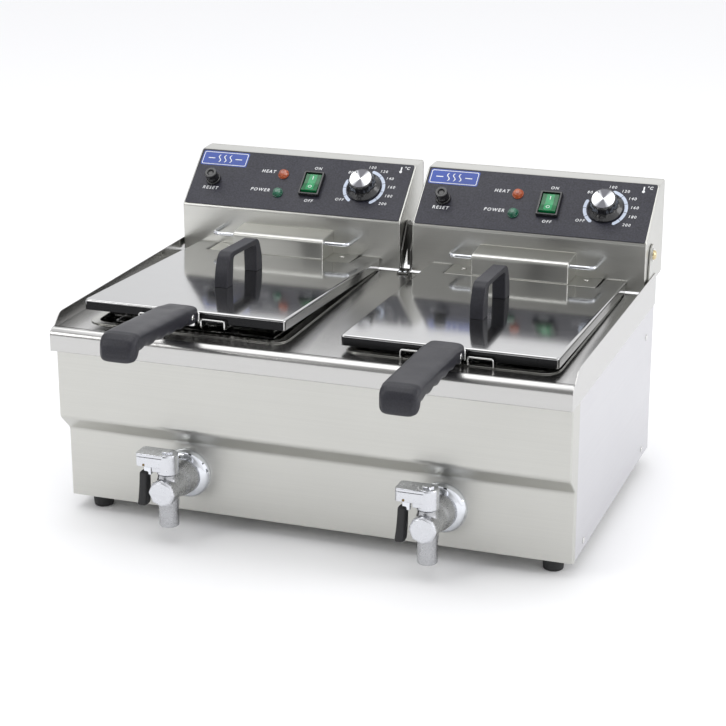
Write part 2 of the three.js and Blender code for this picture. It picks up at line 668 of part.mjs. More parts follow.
function addSide(fryer, side) {
  const { name, sign } = side;
  const label = (part) => `${part}_${name}`;

  const bay = new THREE.Group();
  bay.position.x = sign * TANK_X;
  bay.add(tank(label('tank'), sign));

  const seat = new THREE.Group();
  seat.position.set(0, BASKET_PIVOT.y, BASKET_PIVOT.z);
  seat.rotation.x = deg(-side.basketTilt);
  const hung = new THREE.Group();
  hung.position.set(0, -BASKET_PIVOT.y, -BASKET_PIVOT.z);
  hung.add(basket(label('basket')));
  const socket = new THREE.Group();
  socket.position.set(0, GRIP.root, 227);
  socket.rotation.x = deg(-side.gripTilt);
  const handle = basketHandle(label('basket_handle'));
  handle.position.set(0, -GRIP.root, -227);
  socket.add(handle);
  hung.add(socket);
  seat.add(hung);
  bay.add(seat);

  const cover = new THREE.Group();
  cover.position.set(0, LID.back, LID.backZ);
  cover.rotation.x = deg(-side.lidTilt);
  cover.add(lid(label('lid')), lidHandle(label('lid_handle')));
  bay.add(cover);
  bay.add(elementHood(label('element_hood')), hangerRod(label('hanger_rod')));
  bay.add(heatingElement(label('heating_element')));
  fryer.add(bay);

  const head = new THREE.Group();
  head.position.x = sign * HEAD_X;
  head.add(headCasing(label('head_casing')), headRearCover(label('head_rear_cover')));
  head.add(cableGland(label('cable_gland')));
  const panel = panelFrame();
  panel.add(controlPanel(label('control_panel')));
  panel.add(thermostatKnob(label('thermostat_knob')));
  panel.add(switchBezel(label('switch_bezel')), switchRocker(label('switch_rocker')));
  panel.add(resetCollar(label('reset_collar')), resetButton(label('reset_button')));
  panel.add(pilotLamp(label('heat_lamp'), LAMP.heat, amber()));
  panel.add(pilotLamp(label('power_lamp'), LAMP.power, green()));
  head.add(panel);
  fryer.add(head);

  const tap = new THREE.Group();
  tap.position.x = sign * TAP_X;
  tap.add(tapFlange(label('tap_flange')), tapBody(label('tap_body')));
  tap.add(tapLever(label('tap_lever')), tapGrip(label('tap_grip')));
  fryer.add(tap);
}

const fryer = new THREE.Group();
fryer.position.y = -ORIGIN_Y;
fryer.add(frontPanel(), casingWrap(), basePlate(), deckTop());
for (const [row, y] of [['front', 42.7], ['rear', 342]]) {
  fryer.add(foot(`foot_${row}_left`, -252.7, y), foot(`foot_${row}_right`, 252.7, y));
}
fryer.add(outerBracket('pivot_bracket_left', -1), outerBracket('pivot_bracket_right', 1));
fryer.add(centreBracket());
fryer.add(pivotBolt('pivot_bolt_left', -1), pivotBolt('pivot_bolt_right', 1));
SIDES.forEach((side) => addSide(fryer, side));

const group = new THREE.Group();
group.add(fryer);

export default group;
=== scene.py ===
"""Countertop twin deep fryer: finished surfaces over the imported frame.

Shapes are worked out in millimetres in the panel frame (x to the right, y back from the upper front
panel, z up from the feet) and moved into the row frame, in metres, when their mesh is written.
"""

import math

import bmesh
import bpy
import numpy as np
from bpy.props import FloatProperty, FloatVectorProperty, IntProperty, PointerProperty
from mathutils import Matrix, Vector


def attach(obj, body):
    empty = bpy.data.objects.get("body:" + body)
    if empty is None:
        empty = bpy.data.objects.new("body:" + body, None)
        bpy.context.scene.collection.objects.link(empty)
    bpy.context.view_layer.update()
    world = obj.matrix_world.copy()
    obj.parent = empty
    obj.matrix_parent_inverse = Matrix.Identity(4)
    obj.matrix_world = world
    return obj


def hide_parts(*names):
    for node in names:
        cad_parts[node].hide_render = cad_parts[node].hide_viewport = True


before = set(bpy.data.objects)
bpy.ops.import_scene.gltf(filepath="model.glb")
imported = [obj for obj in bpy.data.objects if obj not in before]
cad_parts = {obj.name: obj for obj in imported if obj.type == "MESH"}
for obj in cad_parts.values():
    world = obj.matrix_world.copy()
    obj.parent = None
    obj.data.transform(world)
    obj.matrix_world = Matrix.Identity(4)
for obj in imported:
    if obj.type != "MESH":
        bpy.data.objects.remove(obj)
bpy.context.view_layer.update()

bl_info = {
    "name": "Twin Deep Fryer",
    "version": (1, 0, 0),
    "blender": (4, 5, 0),
    "location": "3D View > Sidebar > Fryer",
    "description": "Builds the finished surfaces of a countertop twin deep fryer",
    "category": "Add Mesh",
}

# Sizes shared by several pieces, in millimetres ------------------------------------------------

BACK = 143.68  # from the upper front panel back to the middle of the footprint
CASE_X, CASE_Z, CASE_TOP = 278.6, 17.0, 205.0
STEP_Y, STEP_LOW, STEP_HIGH, RETURN_Y = 20.1, 93.7, 112.6, 27.2
TANK_X, TAP_X, HEAD_X = 143.2, 141.2, 141.9
HEAD_HALF, HEAD_FRONT, HEAD_BOTTOM = 134.65, 320.9, 215.2
CREASE, HEAD_TOP, SLOPE_BACK = 269.0, 321.6, 380.6
SLOPE = math.atan2(HEAD_TOP - CREASE, SLOPE_BACK - HEAD_FRONT)
FILM_LIFT = 1.2
DIAL_AT, SWITCH_AT, RESET_AT, BADGE_AT = (80.4, 42), (17.2, 39.6), (-106, 36), (-100.5, 66.3)  # (x, up the slope)
LAMP_X = -21.6
DIAL_BAND = 23.2  # radius of the printed scale
POINTER = 131  # degrees round the dial
ROCKER_TIP = 7  # degrees
ROCKER_FALL = 0.143  # rise of the rocker's top over distance from its ridge
SHEET = 1.2  # thickness of the folded sheets
LID_HALF, LID_BACK, LID_Z, LID_LENGTH = 113.2, 319.5, 225.5, 294.1
TAP_Y, TAP_Z = -28.0, 60.0
PIN_X, PIN_Z = 22, 87.4  # the grip's pin: left of the tap's stem, and its height
LINK_END, GRIP_LENGTH = 11.2, 36.8  # from the pin down to the grip, and down the grip
SIDES = {
    "left": {"sign": -1, "lid": 2.49, "basket": 1.98, "grip": 2.2},
    "right": {"sign": 1, "lid": 0.89, "basket": 0.0, "grip": 0.0},
}


# Shape helpers ---------------------------------------------------------------------------------

def arr(points):
    """Points as a float array."""
    return np.asarray(points, float)


def filleted(points, radii, closed=True, steps=6):
    """A polygon with each corner replaced by a curve: between the points one radius before and after the
    corner, the curve is the quadratic (1-t)^2 a + 2t(1-t) b + t^2 c, so it leaves each side in line with it."""
    p = arr(points)
    n = len(p)
    radii = np.broadcast_to(arr(radii), (n,))
    t = np.linspace(0, 1, steps + 1)[:, None]
    out = []
    for i in range(n):
        if radii[i] <= 0 or (not closed and i in (0, n - 1)):
            out.append(p[i : i + 1])
            continue
        before, after = p[i - 1] - p[i], p[(i + 1) % n] - p[i]
        lb, la = np.linalg.norm(before), np.linalg.norm(after)
        r = min(radii[i], lb * 0.49, la * 0.49)
        a, c = p[i] + before / lb * r, p[i] + after / la * r
        out.append((1 - t) ** 2 * a + 2 * t * (1 - t) * p[i] + t**2 * c)
    return np.vstack(out)


def offset(loop, by):
    """A closed loop moved sideways by a distance: each point goes along the mean of its two edges' normals,
    lengthened by one over the cosine of half the turn. Positive is inwards on an anticlockwise loop."""
    p = arr(loop)
    area = 0.5 * np.sum(p[:, 0] * np.roll(p[:, 1], -1) - np.roll(p[:, 0], -1) * p[:, 1])
    e = np.roll(p, -1, 0) - p
    e /= np.linalg.norm(e, axis=1, keepdims=True) + 1e-12
    normal = np.stack([-e[:, 1], e[:, 0]], 1) * (1 if area > 0 else -1)
    m = normal + np.roll(normal, 1, 0)
    m /= np.linalg.norm(m, axis=1, keepdims=True) + 1e-12
    cosine = np.clip((m * normal).sum(1, keepdims=True), 0.35, 1)
    return p + m * by / cosine


def loft(rings, caps=(True, True), closed=True):
    """A skin over a stack of rings, which is a grid of two parameters, ring and place round it, with a flat
    face over each end."""
    rings = arr(rings)
    n, m = rings.shape[:2]
    last = m if closed else m - 1
    i, j = np.meshgrid(np.arange(n - 1), np.arange(last), indexing="ij")
    a, b = i * m + j, i * m + (j + 1) % m
    faces = np.stack([a, b, b + m, a + m], -1).reshape(-1, 4).tolist()
    if caps[0]:
        faces.append(list(range(m - 1, -1, -1)))
    if caps[1]:
        faces.append(list(range((n - 1) * m, n * m)))
    return rings.reshape(-1, 3), faces


def slab(loop, h0, h1, edge=0.0, steps=4):
    """A loop drawn from h0 to h1 with both rims rounded: near an end the ring at angle t is moved in by
    edge (1 - sin t) and stands edge (1 - cos t) from the end."""
    if edge <= 0:
        insets, heights = np.zeros(2), arr([h0, h1])
    else:
        t = np.linspace(0, math.pi / 2, steps + 1)
        inset, rise = edge * (1 - np.sin(t)), edge * (1 - np.cos(t))
        insets = np.concatenate([inset, inset[::-1]])
        heights = np.concatenate([h0 + rise, (h1 - rise)[::-1]])
    rings = [np.column_stack([offset(loop, d), np.full(len(loop), h)]) for d, h in zip(insets, heights)]
    return loft(rings)


def axes(part, order):
    """The part with its coordinates put in another order, such as (u, v, h) read as (h, u, v)."""
    return part[0][:, list(order)], part[1]


def moved(part, x=0.0, y=0.0, z=0.0):
    """The part shifted."""
    return part[0] + arr([x, y, z]), part[1]


def along_x(loop, x0, x1, edge=0.0, steps=4):
    """A (y, z) loop drawn along X."""
    return axes(slab(loop, x0, x1, edge, steps), (2, 0, 1))


def along_y(loop, y0, y1, edge=0.0, steps=4):
    """An (x, z) loop drawn along Y."""
    return axes(slab(loop, y0, y1, edge, steps), (0, 2, 1))


def box_loop(u0, u1, v0, v1, radius=0.0, steps=5):
    """A rectangle with rounded corners."""
    return filleted([[u0, v0], [u1, v0], [u1, v1], [u0, v1]], radius, steps=steps)


def spun(profile, axis="z", sides=48):
    """A turned piece: a (radius, height) profile spun about an axis, so point (i, j) is the radius times the
    cosine and sine of angle j with the height along the axis. A profile that starts and ends at radius 0 is
    closed by its poles, and one that doesn't is joined end to end."""
    p = arr(profile)
    t = np.linspace(0, 2 * math.pi, sides, endpoint=False)
    r, h = p[:, :1], np.broadcast_to(p[:, 1:], (len(p), sides))
    grid = np.stack([r * np.cos(t), r * np.sin(t), h], -1)
    ring = p[0, 0] > 1e-6
    if ring:
        grid = np.concatenate([grid, grid[:1]])
    verts, faces = loft(grid, caps=(False, False))
    order = {"z": (0, 1, 2), "y": (0, 2, 1), "x": (2, 0, 1)}[axis]
    return verts[:, list(order)], faces


def round_profile(points, radius, steps=4):
    """A lathe profile with its inner corners eased."""
    return filleted(points, radius, closed=False, steps=steps)


def tube(path, radius, sides=12):
    """A round bar along a path. The frame is carried from one point to the next by turning it with the
    tangent, so the ring at point i is path_i + r (cos t u_i + sin t v_i)."""
    p = arr(path)
    tangent = np.gradient(p, axis=0)
    tangent /= np.linalg.norm(tangent, axis=1, keepdims=True)
    u = np.cross(tangent[0], [0.3, 0.2, 0.93])
    if np.linalg.norm(u) < 0.1:
        u = np.cross(tangent[0], [1, 0, 0])
    frames = []
    for w in tangent:
        u = u - w * np.dot(u, w)
        u = u / np.linalg.norm(u)
        frames.append((u, np.cross(w, u)))
    t = np.linspace(0, 2 * math.pi, sides, endpoint=False)[:, None]
    rings = [c + radius * (np.cos(t) * a + np.sin(t) * b) for c, (a, b) in zip(p, frames)]
    return loft(rings)


def bent(corners, radius, bend, sides=14, steps=7):
    """A bar through corner points with each corner bent round."""
    return tube(filleted(corners, bend, closed=False, steps=steps), radius, sides)


def rods(starts, ends, radius, sides=6):
    """Many straight wires at once: wire k's ring point j is its end plus r (cos t_j u_k + sin t_j v_k), with
    u and v square to the wire."""
    a, b = arr(starts), arr(ends)
    d = b - a
    d /= np.linalg.norm(d, axis=1, keepdims=True)
    helper = np.where(np.abs(d[:, 2:3]) > 0.9, [[1.0, 0, 0]], [[0, 0, 1.0]])
    u = np.cross(d, helper)
    u /= np.linalg.norm(u, axis=1, keepdims=True)
    v = np.cross(d, u)
    t = np.linspace(0, 2 * math.pi, sides, endpoint=False)
    ring = radius * (np.cos(t)[None, :, None] * u[:, None] + np.sin(t)[None, :, None] * v[:, None])
    verts = np.stack([a[:, None] + ring, b[:, None] + ring], 1)
    base = np.arange(len(a))[:, None] * 2 * sides
    j = np.arange(sides)[None]
    k = (j + 1) % sides
    quads = np.stack([base + j, base + k, base + k + sides, base + j + sides], -1).reshape(-1, 4).tolist()
    lower = (base + np.arange(sides)[::-1]).tolist()
    upper = (base + sides + np.arange(sides)).tolist()
    return verts.reshape(-1, 3), quads + lower + upper


def tipped(part, degrees, y0, z0):
    """The part with its front raised about a line along X through (y0, z0)."""
    a = -math.radians(degrees)
    v = part[0].copy()
    y, z = v[:, 1] - y0, v[:, 2] - z0
    v[:, 1], v[:, 2] = y0 + y * math.cos(a) - z * math.sin(a), z0 + y * math.sin(a) + z * math.cos(a)
    return v, part[1]


def turned(part, degrees):
    """The part turned about Z: (x cos a - y sin a, x sin a + y cos a)."""
    a, v = math.radians(degrees), part[0]
    x = v[:, 0] * math.cos(a) - v[:, 1] * math.sin(a)
    y = v[:, 0] * math.sin(a) + v[:, 1] * math.cos(a)
    return np.column_stack([x, y, v[:, 2]]), part[1]


def on_panel(part, x=0.0, s=0.0, sign=1):
    """A part given as (x, up the slope, out of the printed face), put on a head's sloped face."""
    v = part[0]
    up, out = v[:, 1] + s, v[:, 2] + FILM_LIFT
    y = HEAD_FRONT + up * math.cos(SLOPE) - out * math.sin(SLOPE)
    z = CREASE + up * math.sin(SLOPE) + out * math.cos(SLOPE)
    return np.column_stack([v[:, 0] + x + sign * HEAD_X, y, z]), part[1]


def make(name, parts, materials, body, replaces=(), crease=38):
    """Writes one piece: its closed parts in one mesh, welded and turned outwards, riding on a body. A part
    may carry a third value, the number of its material, or one number for each face."""
    verts, faces, kinds, start = [], [], [], 0
    for part in parts:
        v, f = part[0], part[1]
        verts.append(v)
        faces += [[i + start for i in face] for face in f]
        kind = part[2] if len(part) > 2 else 0
        kinds += [kind] * len(f) if isinstance(kind, int) else list(kind)
        start += len(v)
    points = (np.vstack(verts) - [0, BACK, 0]) / 1000
    mesh = bpy.data.meshes.new(name)
    mesh.from_pydata(points.tolist(), [], faces)
    mesh.polygons.foreach_set("material_index", np.array(kinds, np.int32))
    return settle(name, mesh, materials, body, replaces, crease, 0)


def settle(name, mesh, materials, body, replaces, crease, bevel, sheet=0.0):
    """Welds a mesh, turns it outwards, thickens it if it is a sheet, breaks its edges, shades it with normals
    weighted by face area and hangs it on its body."""
    work = bmesh.new()
    work.from_mesh(mesh)
    bmesh.ops.remove_doubles(work, verts=work.verts, dist=2e-6)
    bmesh.ops.dissolve_degenerate(work, dist=1e-7, edges=work.edges)
    bmesh.ops.recalc_face_normals(work, faces=work.faces)
    work.to_mesh(mesh)
    work.free()
    mesh.shade_smooth()
    mesh.set_sharp_from_angle(angle=math.radians(crease))
    obj = bpy.data.objects.new(name, mesh)
    bpy.context.scene.collection.objects.link(obj)
    for material in materials if isinstance(materials, (list, tuple)) else [materials]:
        mesh.materials.append(material)
    if sheet:
        wall = obj.modifiers.new("sheet", "SOLIDIFY")
        wall.thickness, wall.offset = sheet / 1000, 0.0
    if bevel:
        rounding = obj.modifiers.new("edges", "BEVEL")
        rounding.width = bevel / 1000
        rounding.segments = 3
        rounding.limit_method = "ANGLE"
        rounding.angle_limit = math.radians(30)
        rounding.harden_normals = True
    shading = obj.modifiers.new("normals", "WEIGHTED_NORMAL")
    shading.weight, shading.keep_sharp = 50, True
    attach(obj, body)
    if replaces:
        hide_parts(*replaces)
    return obj


def from_node(node, name, material, body, bevel):
    """A folded sheet part taken over from the frame: its triangles are welded, flat faces joined, and its
    edges broken."""
    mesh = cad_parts[node].data.copy()
    mesh.materials.clear()
    work = bmesh.new()
    work.from_mesh(mesh)
    bmesh.ops.remove_doubles(work, verts=work.verts, dist=2e-6)
    bmesh.ops.dissolve_limit(work, angle_limit=math.radians(0.5), verts=work.verts, edges=work.edges)
    work.to_mesh(mesh)
    work.free()
    return settle(name, mesh, material, body, [node], 30, bevel)


# Materials -------------------------------------------------------------------------------------

def shader(name, colour, metallic, roughness, **sockets):
    """A material with its principled shader set, and its tree for adding detail."""
    material = bpy.data.materials.new(name)
    material.use_nodes = True
    tree = material.node_tree
    surface = tree.nodes["Principled BSDF"]
    surface.inputs["Base Color"].default_value = (*colour, 1)
    surface.inputs["Metallic"].default_value = metallic
    surface.inputs["Roughness"].default_value = roughness
    for key, value in sockets.items():
        surface.inputs[key.replace("_", " ")].default_value = value
    return material, tree, surface


def grain(tree, scale, detail=4.0, size=1.0, rough=0.55):
    """Noise on object coordinates, stretched by a scale for each axis."""
    place = tree.nodes.new("ShaderNodeTexCoord")
    mapping = tree.nodes.new("ShaderNodeMapping")
    mapping.inputs["Scale"].default_value = scale
    noise = tree.nodes.new("ShaderNodeTexNoise")
    noise.inputs["Scale"].default_value = size
    noise.inputs["Detail"].default_value = detail
    noise.inputs["Roughness"].default_value = rough
    tree.links.new(place.outputs["Object"], mapping.inputs["Vector"])
    tree.links.new(mapping.outputs["Vector"], noise.inputs["Vector"])
    return noise.outputs["Fac"]


def spread(tree, value, low, high):
    """A noise value from 0.3 to 0.7 brought to another range."""
    node = tree.nodes.new("ShaderNodeMapRange")
    node.inputs["From Min"].default_value = 0.3
    node.inputs["From Max"].default_value = 0.7
    node.inputs["To Min"].default_value = low
    node.inputs["To Max"].default_value = high
    tree.links.new(value, node.inputs["Value"])
    return node.outputs["Result"]


def tint(tree, value, dark, light):
    """A colour between two, chosen by a noise value."""
    node = tree.nodes.new("ShaderNodeMix")
    node.data_type = "RGBA"
    node.inputs["A"].default_value = (*dark, 1)
    node.inputs["B"].default_value = (*light, 1)
    tree.links.new(spread(tree, value, 0, 1), node.inputs["Factor"])
    return node.outputs["Result"]


def bump(tree, surface, value, depth, strength=1.0):
    """Relief of a depth in metres from a noise value."""
    node = tree.nodes.new("ShaderNodeBump")
    node.inputs["Distance"].default_value = depth
    node.inputs["Strength"].default_value = strength
    tree.links.new(value, node.inputs["Height"])
    tree.links.new(node.outputs["Normal"], surface.inputs["Normal"])


def brushed(name, colour, roughness, scale, depth=1.2e-6, swing=0.018):
    """Sheet steel with a fine straight grain, faint cloudiness and small changes of gloss."""
    material, tree, surface = shader(name, colour, 1.0, roughness)
    fine = grain(tree, scale, 3)
    cloud = grain(tree, (9, 9, 9), 2)
    dark = tuple(c * (1 - swing) for c in colour)
    light = tuple(min(1, c * (1 + swing)) for c in colour)
    tree.links.new(tint(tree, fine, dark, light), surface.inputs["Base Color"])
    tree.links.new(spread(tree, cloud, roughness * 0.94, roughness * 1.06), surface.inputs["Roughness"])
    bump(tree, surface, fine, depth)
    return material


def polished(name, colour, roughness, scale=(30, 30, 30), wave=0.0):
    """Bright steel with light rubbing marks and a slow unevenness."""
    material, tree, surface = shader(name, colour, 1.0, roughness)
    rub = grain(tree, scale, 5, 6.0, 0.7)
    tree.links.new(spread(tree, rub, roughness * 0.82, roughness * 1.25), surface.inputs["Roughness"])
    tree.links.new(
        tint(tree, rub, tuple(c * 0.975 for c in colour), tuple(min(1, c * 1.02) for c in colour)),
        surface.inputs["Base Color"],
    )
    if wave:
        bump(tree, surface, grain(tree, (7, 7, 7), 1), wave)
    return material


def moulded(name, colour, roughness, size=900.0, depth=1.5e-5, coat=0.0, gloss=0.5, speck=0.14):
    """Moulded plastic or rubber with a fine spark-eroded texture and slight colour variation. A variation of
    more than 0.2 follows the texture, and a smaller one follows broad patches."""
    material, tree, surface = shader(name, colour, 0.0, roughness, Coat_Weight=coat, Coat_Roughness=0.08,
                                     Specular_IOR_Level=gloss)
    fine = grain(tree, (size, size, size), 2)
    patch = grain(tree, (25, 25, 25), 3)
    tree.links.new(
        tint(
            tree, fine if speck > 0.2 else patch,
            tuple(c * (1 - speck) for c in colour), tuple(c * (1 + speck) for c in colour),
        ),
        surface.inputs["Base Color"],
    )
    tree.links.new(spread(tree, patch, roughness * 0.88, roughness * 1.1), surface.inputs["Roughness"])
    bump(tree, surface, fine, depth)
    return material


def lens(name, colour, deep, glow, coat=0.25):
    """Tinted clear plastic, lit a little from behind, darker in its cloudier parts."""
    material, tree, surface = shader(
        name, colour, 0.0, 0.16, Transmission_Weight=0.2, IOR=1.45, Coat_Weight=coat, Coat_Roughness=0.03,
        Emission_Color=(*colour, 1), Emission_Strength=glow,
    )
    tree.links.new(tint(tree, grain(tree, (160, 160, 160), 2), deep, colour), surface.inputs["Base Color"])
    return material


def spun_metal_painted_sheen(name, centre, normal_turn, colour):
    """Metal with rings turned about a centre and a painted bow-tie sheen: rings are noise of the distance from it, and
    the base colour swings dark and light with twice the angle round it.
    """
    material, tree, surface = shader(name, colour, 1.0, 0.26)
    place = tree.nodes.new("ShaderNodeTexCoord")
    mapping = tree.nodes.new("ShaderNodeMapping")
    mapping.vector_type = "TEXTURE"
    mapping.inputs["Location"].default_value = centre
    mapping.inputs["Rotation"].default_value = normal_turn
    split = tree.nodes.new("ShaderNodeSeparateXYZ")
    tree.links.new(place.outputs["Object"], mapping.inputs["Vector"])
    tree.links.new(mapping.outputs["Vector"], split.inputs["Vector"])
    angle = tree.nodes.new("ShaderNodeMath")
    angle.operation = "ARCTAN2"
    tree.links.new(split.outputs["Y"], angle.inputs[0])
    tree.links.new(split.outputs["X"], angle.inputs[1])
    double = tree.nodes.new("ShaderNodeMath")
    double.operation = "MULTIPLY"
    double.inputs[1].default_value = 2.0
    tree.links.new(angle.outputs[0], double.inputs[0])
    wave = tree.nodes.new("ShaderNodeMath")
    wave.operation = "COSINE"
    tree.links.new(double.outputs[0], wave.inputs[0])
    shade = tree.nodes.new("ShaderNodeMapRange")
    shade.inputs["From Min"].default_value = -0.7
    shade.inputs["From Max"].default_value = 0.7
    tree.links.new(wave.outputs[0], shade.inputs["Value"])
    # Painted highlight: the base colour runs from near-black to the metal's colour with the cosine of twice the angle,
    # a bow-tie of painted reflection.
    mix = tree.nodes.new("ShaderNodeMix")
    mix.data_type = "RGBA"
    mix.inputs["A"].default_value = (0.10, 0.10, 0.11, 1)
    mix.inputs["B"].default_value = (*colour, 1)
    tree.links.new(shade.outputs["Result"], mix.inputs["Factor"])
    tree.links.new(mix.outputs["Result"], surface.inputs["Base Color"])
    fine = tree.nodes.new("ShaderNodeTexNoise")
    fine.noise_dimensions = "1D"
    fine.inputs["Scale"].default_value = 9000
    length = tree.nodes.new("ShaderNodeVectorMath")
    length.operation = "LENGTH"
    flat = tree.nodes.new("ShaderNodeCombineXYZ")
    tree.links.new(split.outputs["X"], flat.inputs["X"])
    tree.links.new(split.outputs["Y"], flat.inputs["Y"])
    tree.links.new(flat.outputs["Vector"], length.inputs[0])
    tree.links.new(length.outputs["Value"], fine.inputs["W"])
    bump(tree, surface, fine.outputs["Fac"], 3e-6)
    return material


MATERIALS = {}


def finishes(colours):
    """Makes every finish once."""
    steel, plastic = tuple(colours.steel), tuple(colours.plastic)
    m = MATERIALS
    m["front"] = brushed("brushed steel front", steel, 0.34, (6, 900, 900))
    # The side and back sheets take a lighter, bluer copy of the front's steel: painted light for the brighter, bluer
    # light falling on that side.
    side_painted_light = (steel[0] * 1.12, steel[1] * 1.12, steel[2] * 1.22)
    m["side"] = brushed("brushed steel side painted lighter", side_painted_light, 0.38, (900, 6, 900))
    m["head"] = brushed("brushed steel head", steel, 0.3, (6, 900, 900))
    m["tank"] = brushed("drawn steel tank", tuple(c * 0.95 for c in steel), 0.26, (120, 120, 8), 2e-6)
    m["deck"] = brushed("polished steel deck", (0.54, 0.536, 0.525), 0.24, (6, 900, 900))
    m["mirror"] = polished("mirror steel lid", (0.50, 0.50, 0.498), 0.09, (6, 40, 40), 1e-5)
    # Near-black steel for the lids' front flanges: painted shade and painted dark reflection.
    m["shade"] = polished("flange steel with painted shade", (0.022, 0.022, 0.023), 0.25, (6, 40, 40))
    m["tap"] = polished("dull chrome", (0.46, 0.465, 0.48), 0.26, (60, 60, 60))
    m["satin"] = polished("satin chrome", (0.66, 0.67, 0.70), 0.24, (60, 60, 60))
    # Near-black steel for the upright between the heads: painted shade for the gap it stands in.
    m["upright"] = brushed("upright steel with painted shade", (0.16, 0.158, 0.15), 0.35, (900, 900, 6))
    m["brass"] = polished("dark brass", (0.20, 0.14, 0.06), 0.3, (200, 200, 200))
    m["wire"] = polished("drawn steel wire", (0.66, 0.66, 0.65), 0.16, (200, 200, 200))
    m["chrome"] = polished("chrome plate", (0.74, 0.76, 0.80), 0.06, (60, 60, 60))
    m["zinc"] = polished("yellow zinc plate", (0.66, 0.55, 0.33), 0.22, (200, 200, 200))
    m["plastic"] = moulded("dark moulded plastic", plastic, 0.42, 700, 2.4e-5, 0, 0.4, 0.3)
    m["black"] = moulded("black gloss plastic", (0.012, 0.012, 0.013), 0.2, 1500, 4e-6, 0.5)
    m["rubber"] = moulded("black rubber", (0.02, 0.02, 0.021), 0.7, 700, 3e-5)
    m["film"] = moulded("printed film", tuple(colours.film), 0.40, 560, 3.0e-5, 0, 0.38, 0.55)
    m["white"] = moulded("white print", (0.78, 0.79, 0.80), 0.45, 900, 3e-6)
    m["pale"] = moulded("pale blue print", (0.60, 0.67, 0.80), 0.45, 900, 3e-6)
    m["blue"] = moulded("blue print", (0.03, 0.07, 0.34), 0.4, 900, 3e-6)
    m["amber"] = lens("amber lens", (0.52, 0.10, 0.02), (0.26, 0.04, 0.01), 0.10, 1.0)
    m["green"] = lens("green lens", (0.008, 0.16, 0.08), (0.003, 0.07, 0.04), 0.05, 1.0)
    m["lit"] = lens("lit green rocker", (0.003, 0.15, 0.045), (0.002, 0.09, 0.025), 0.12)
    m["bright_lit"] = lens("lit green strip", (0.015, 0.34, 0.12), (0.01, 0.22, 0.07), 0.2)
    # One near-black finish serves two uses: the dial's printed mark, and the louvre slots, where it is painted shade.
    m["dark"] = moulded("dark mark and painted shade slots", (0.006, 0.006, 0.007), 0.8, 600, 1e-5)
    m["floor"] = shader("studio floor", (0.97, 0.97, 0.975), 0.0, 0.9, Specular_IOR_Level=0.0)[0]


# Sizes and colours that a user would change -----------------------------------------------------

class FryerSizes(bpy.types.PropertyGroup):
    lip: FloatProperty(name="Lip bend", description="Bend radius of the deck's rolled lip",
                       default=0.007, min=0.002, max=0.009, unit="LENGTH")
    lid_edge: FloatProperty(name="Lid edge", description="Radius of the lid's top edge",
                            default=0.0026, min=0.001, max=0.005, unit="LENGTH")
    bend: FloatProperty(name="Sheet bend", description="Outer bend radius of the folded sheets",
                        default=0.0022, min=0.0005, max=0.005, unit="LENGTH")
    pitch: FloatProperty(name="Mesh pitch", description="Distance between the basket's mesh wires",
                         default=0.0072, min=0.004, max=0.015, unit="LENGTH")
    gauge: FloatProperty(name="Mesh wire", description="Diameter of the basket's mesh wires",
                         default=0.0013, min=0.0006, max=0.003, unit="LENGTH")
    sides: IntProperty(name="Round sides", description="Number of sides on the turned pieces",
                       default=56, min=24, max=96)


class FryerColours(bpy.types.PropertyGroup):
    steel: FloatVectorProperty(name="Steel", description="Colour of the brushed sheet", subtype="COLOR",
                               default=(0.565, 0.563, 0.533), min=0, max=1)
    plastic: FloatVectorProperty(name="Handles", description="Colour of the moulded handles", subtype="COLOR",
                                 default=(0.018, 0.018, 0.024), min=0, max=1)
    film: FloatVectorProperty(name="Panel film", description="Colour of the printed control panel",
                              subtype="COLOR", default=(0.021, 0.021, 0.032), min=0, max=1)
    world: FloatProperty(name="Studio light", description="Brightness of the surrounding studio",
                         default=1.0, min=0.1, max=3)


def sizes():
    """The user's sizes."""
    return bpy.context.scene.fryer_sizes


# Stage -----------------------------------------------------------------------------------------

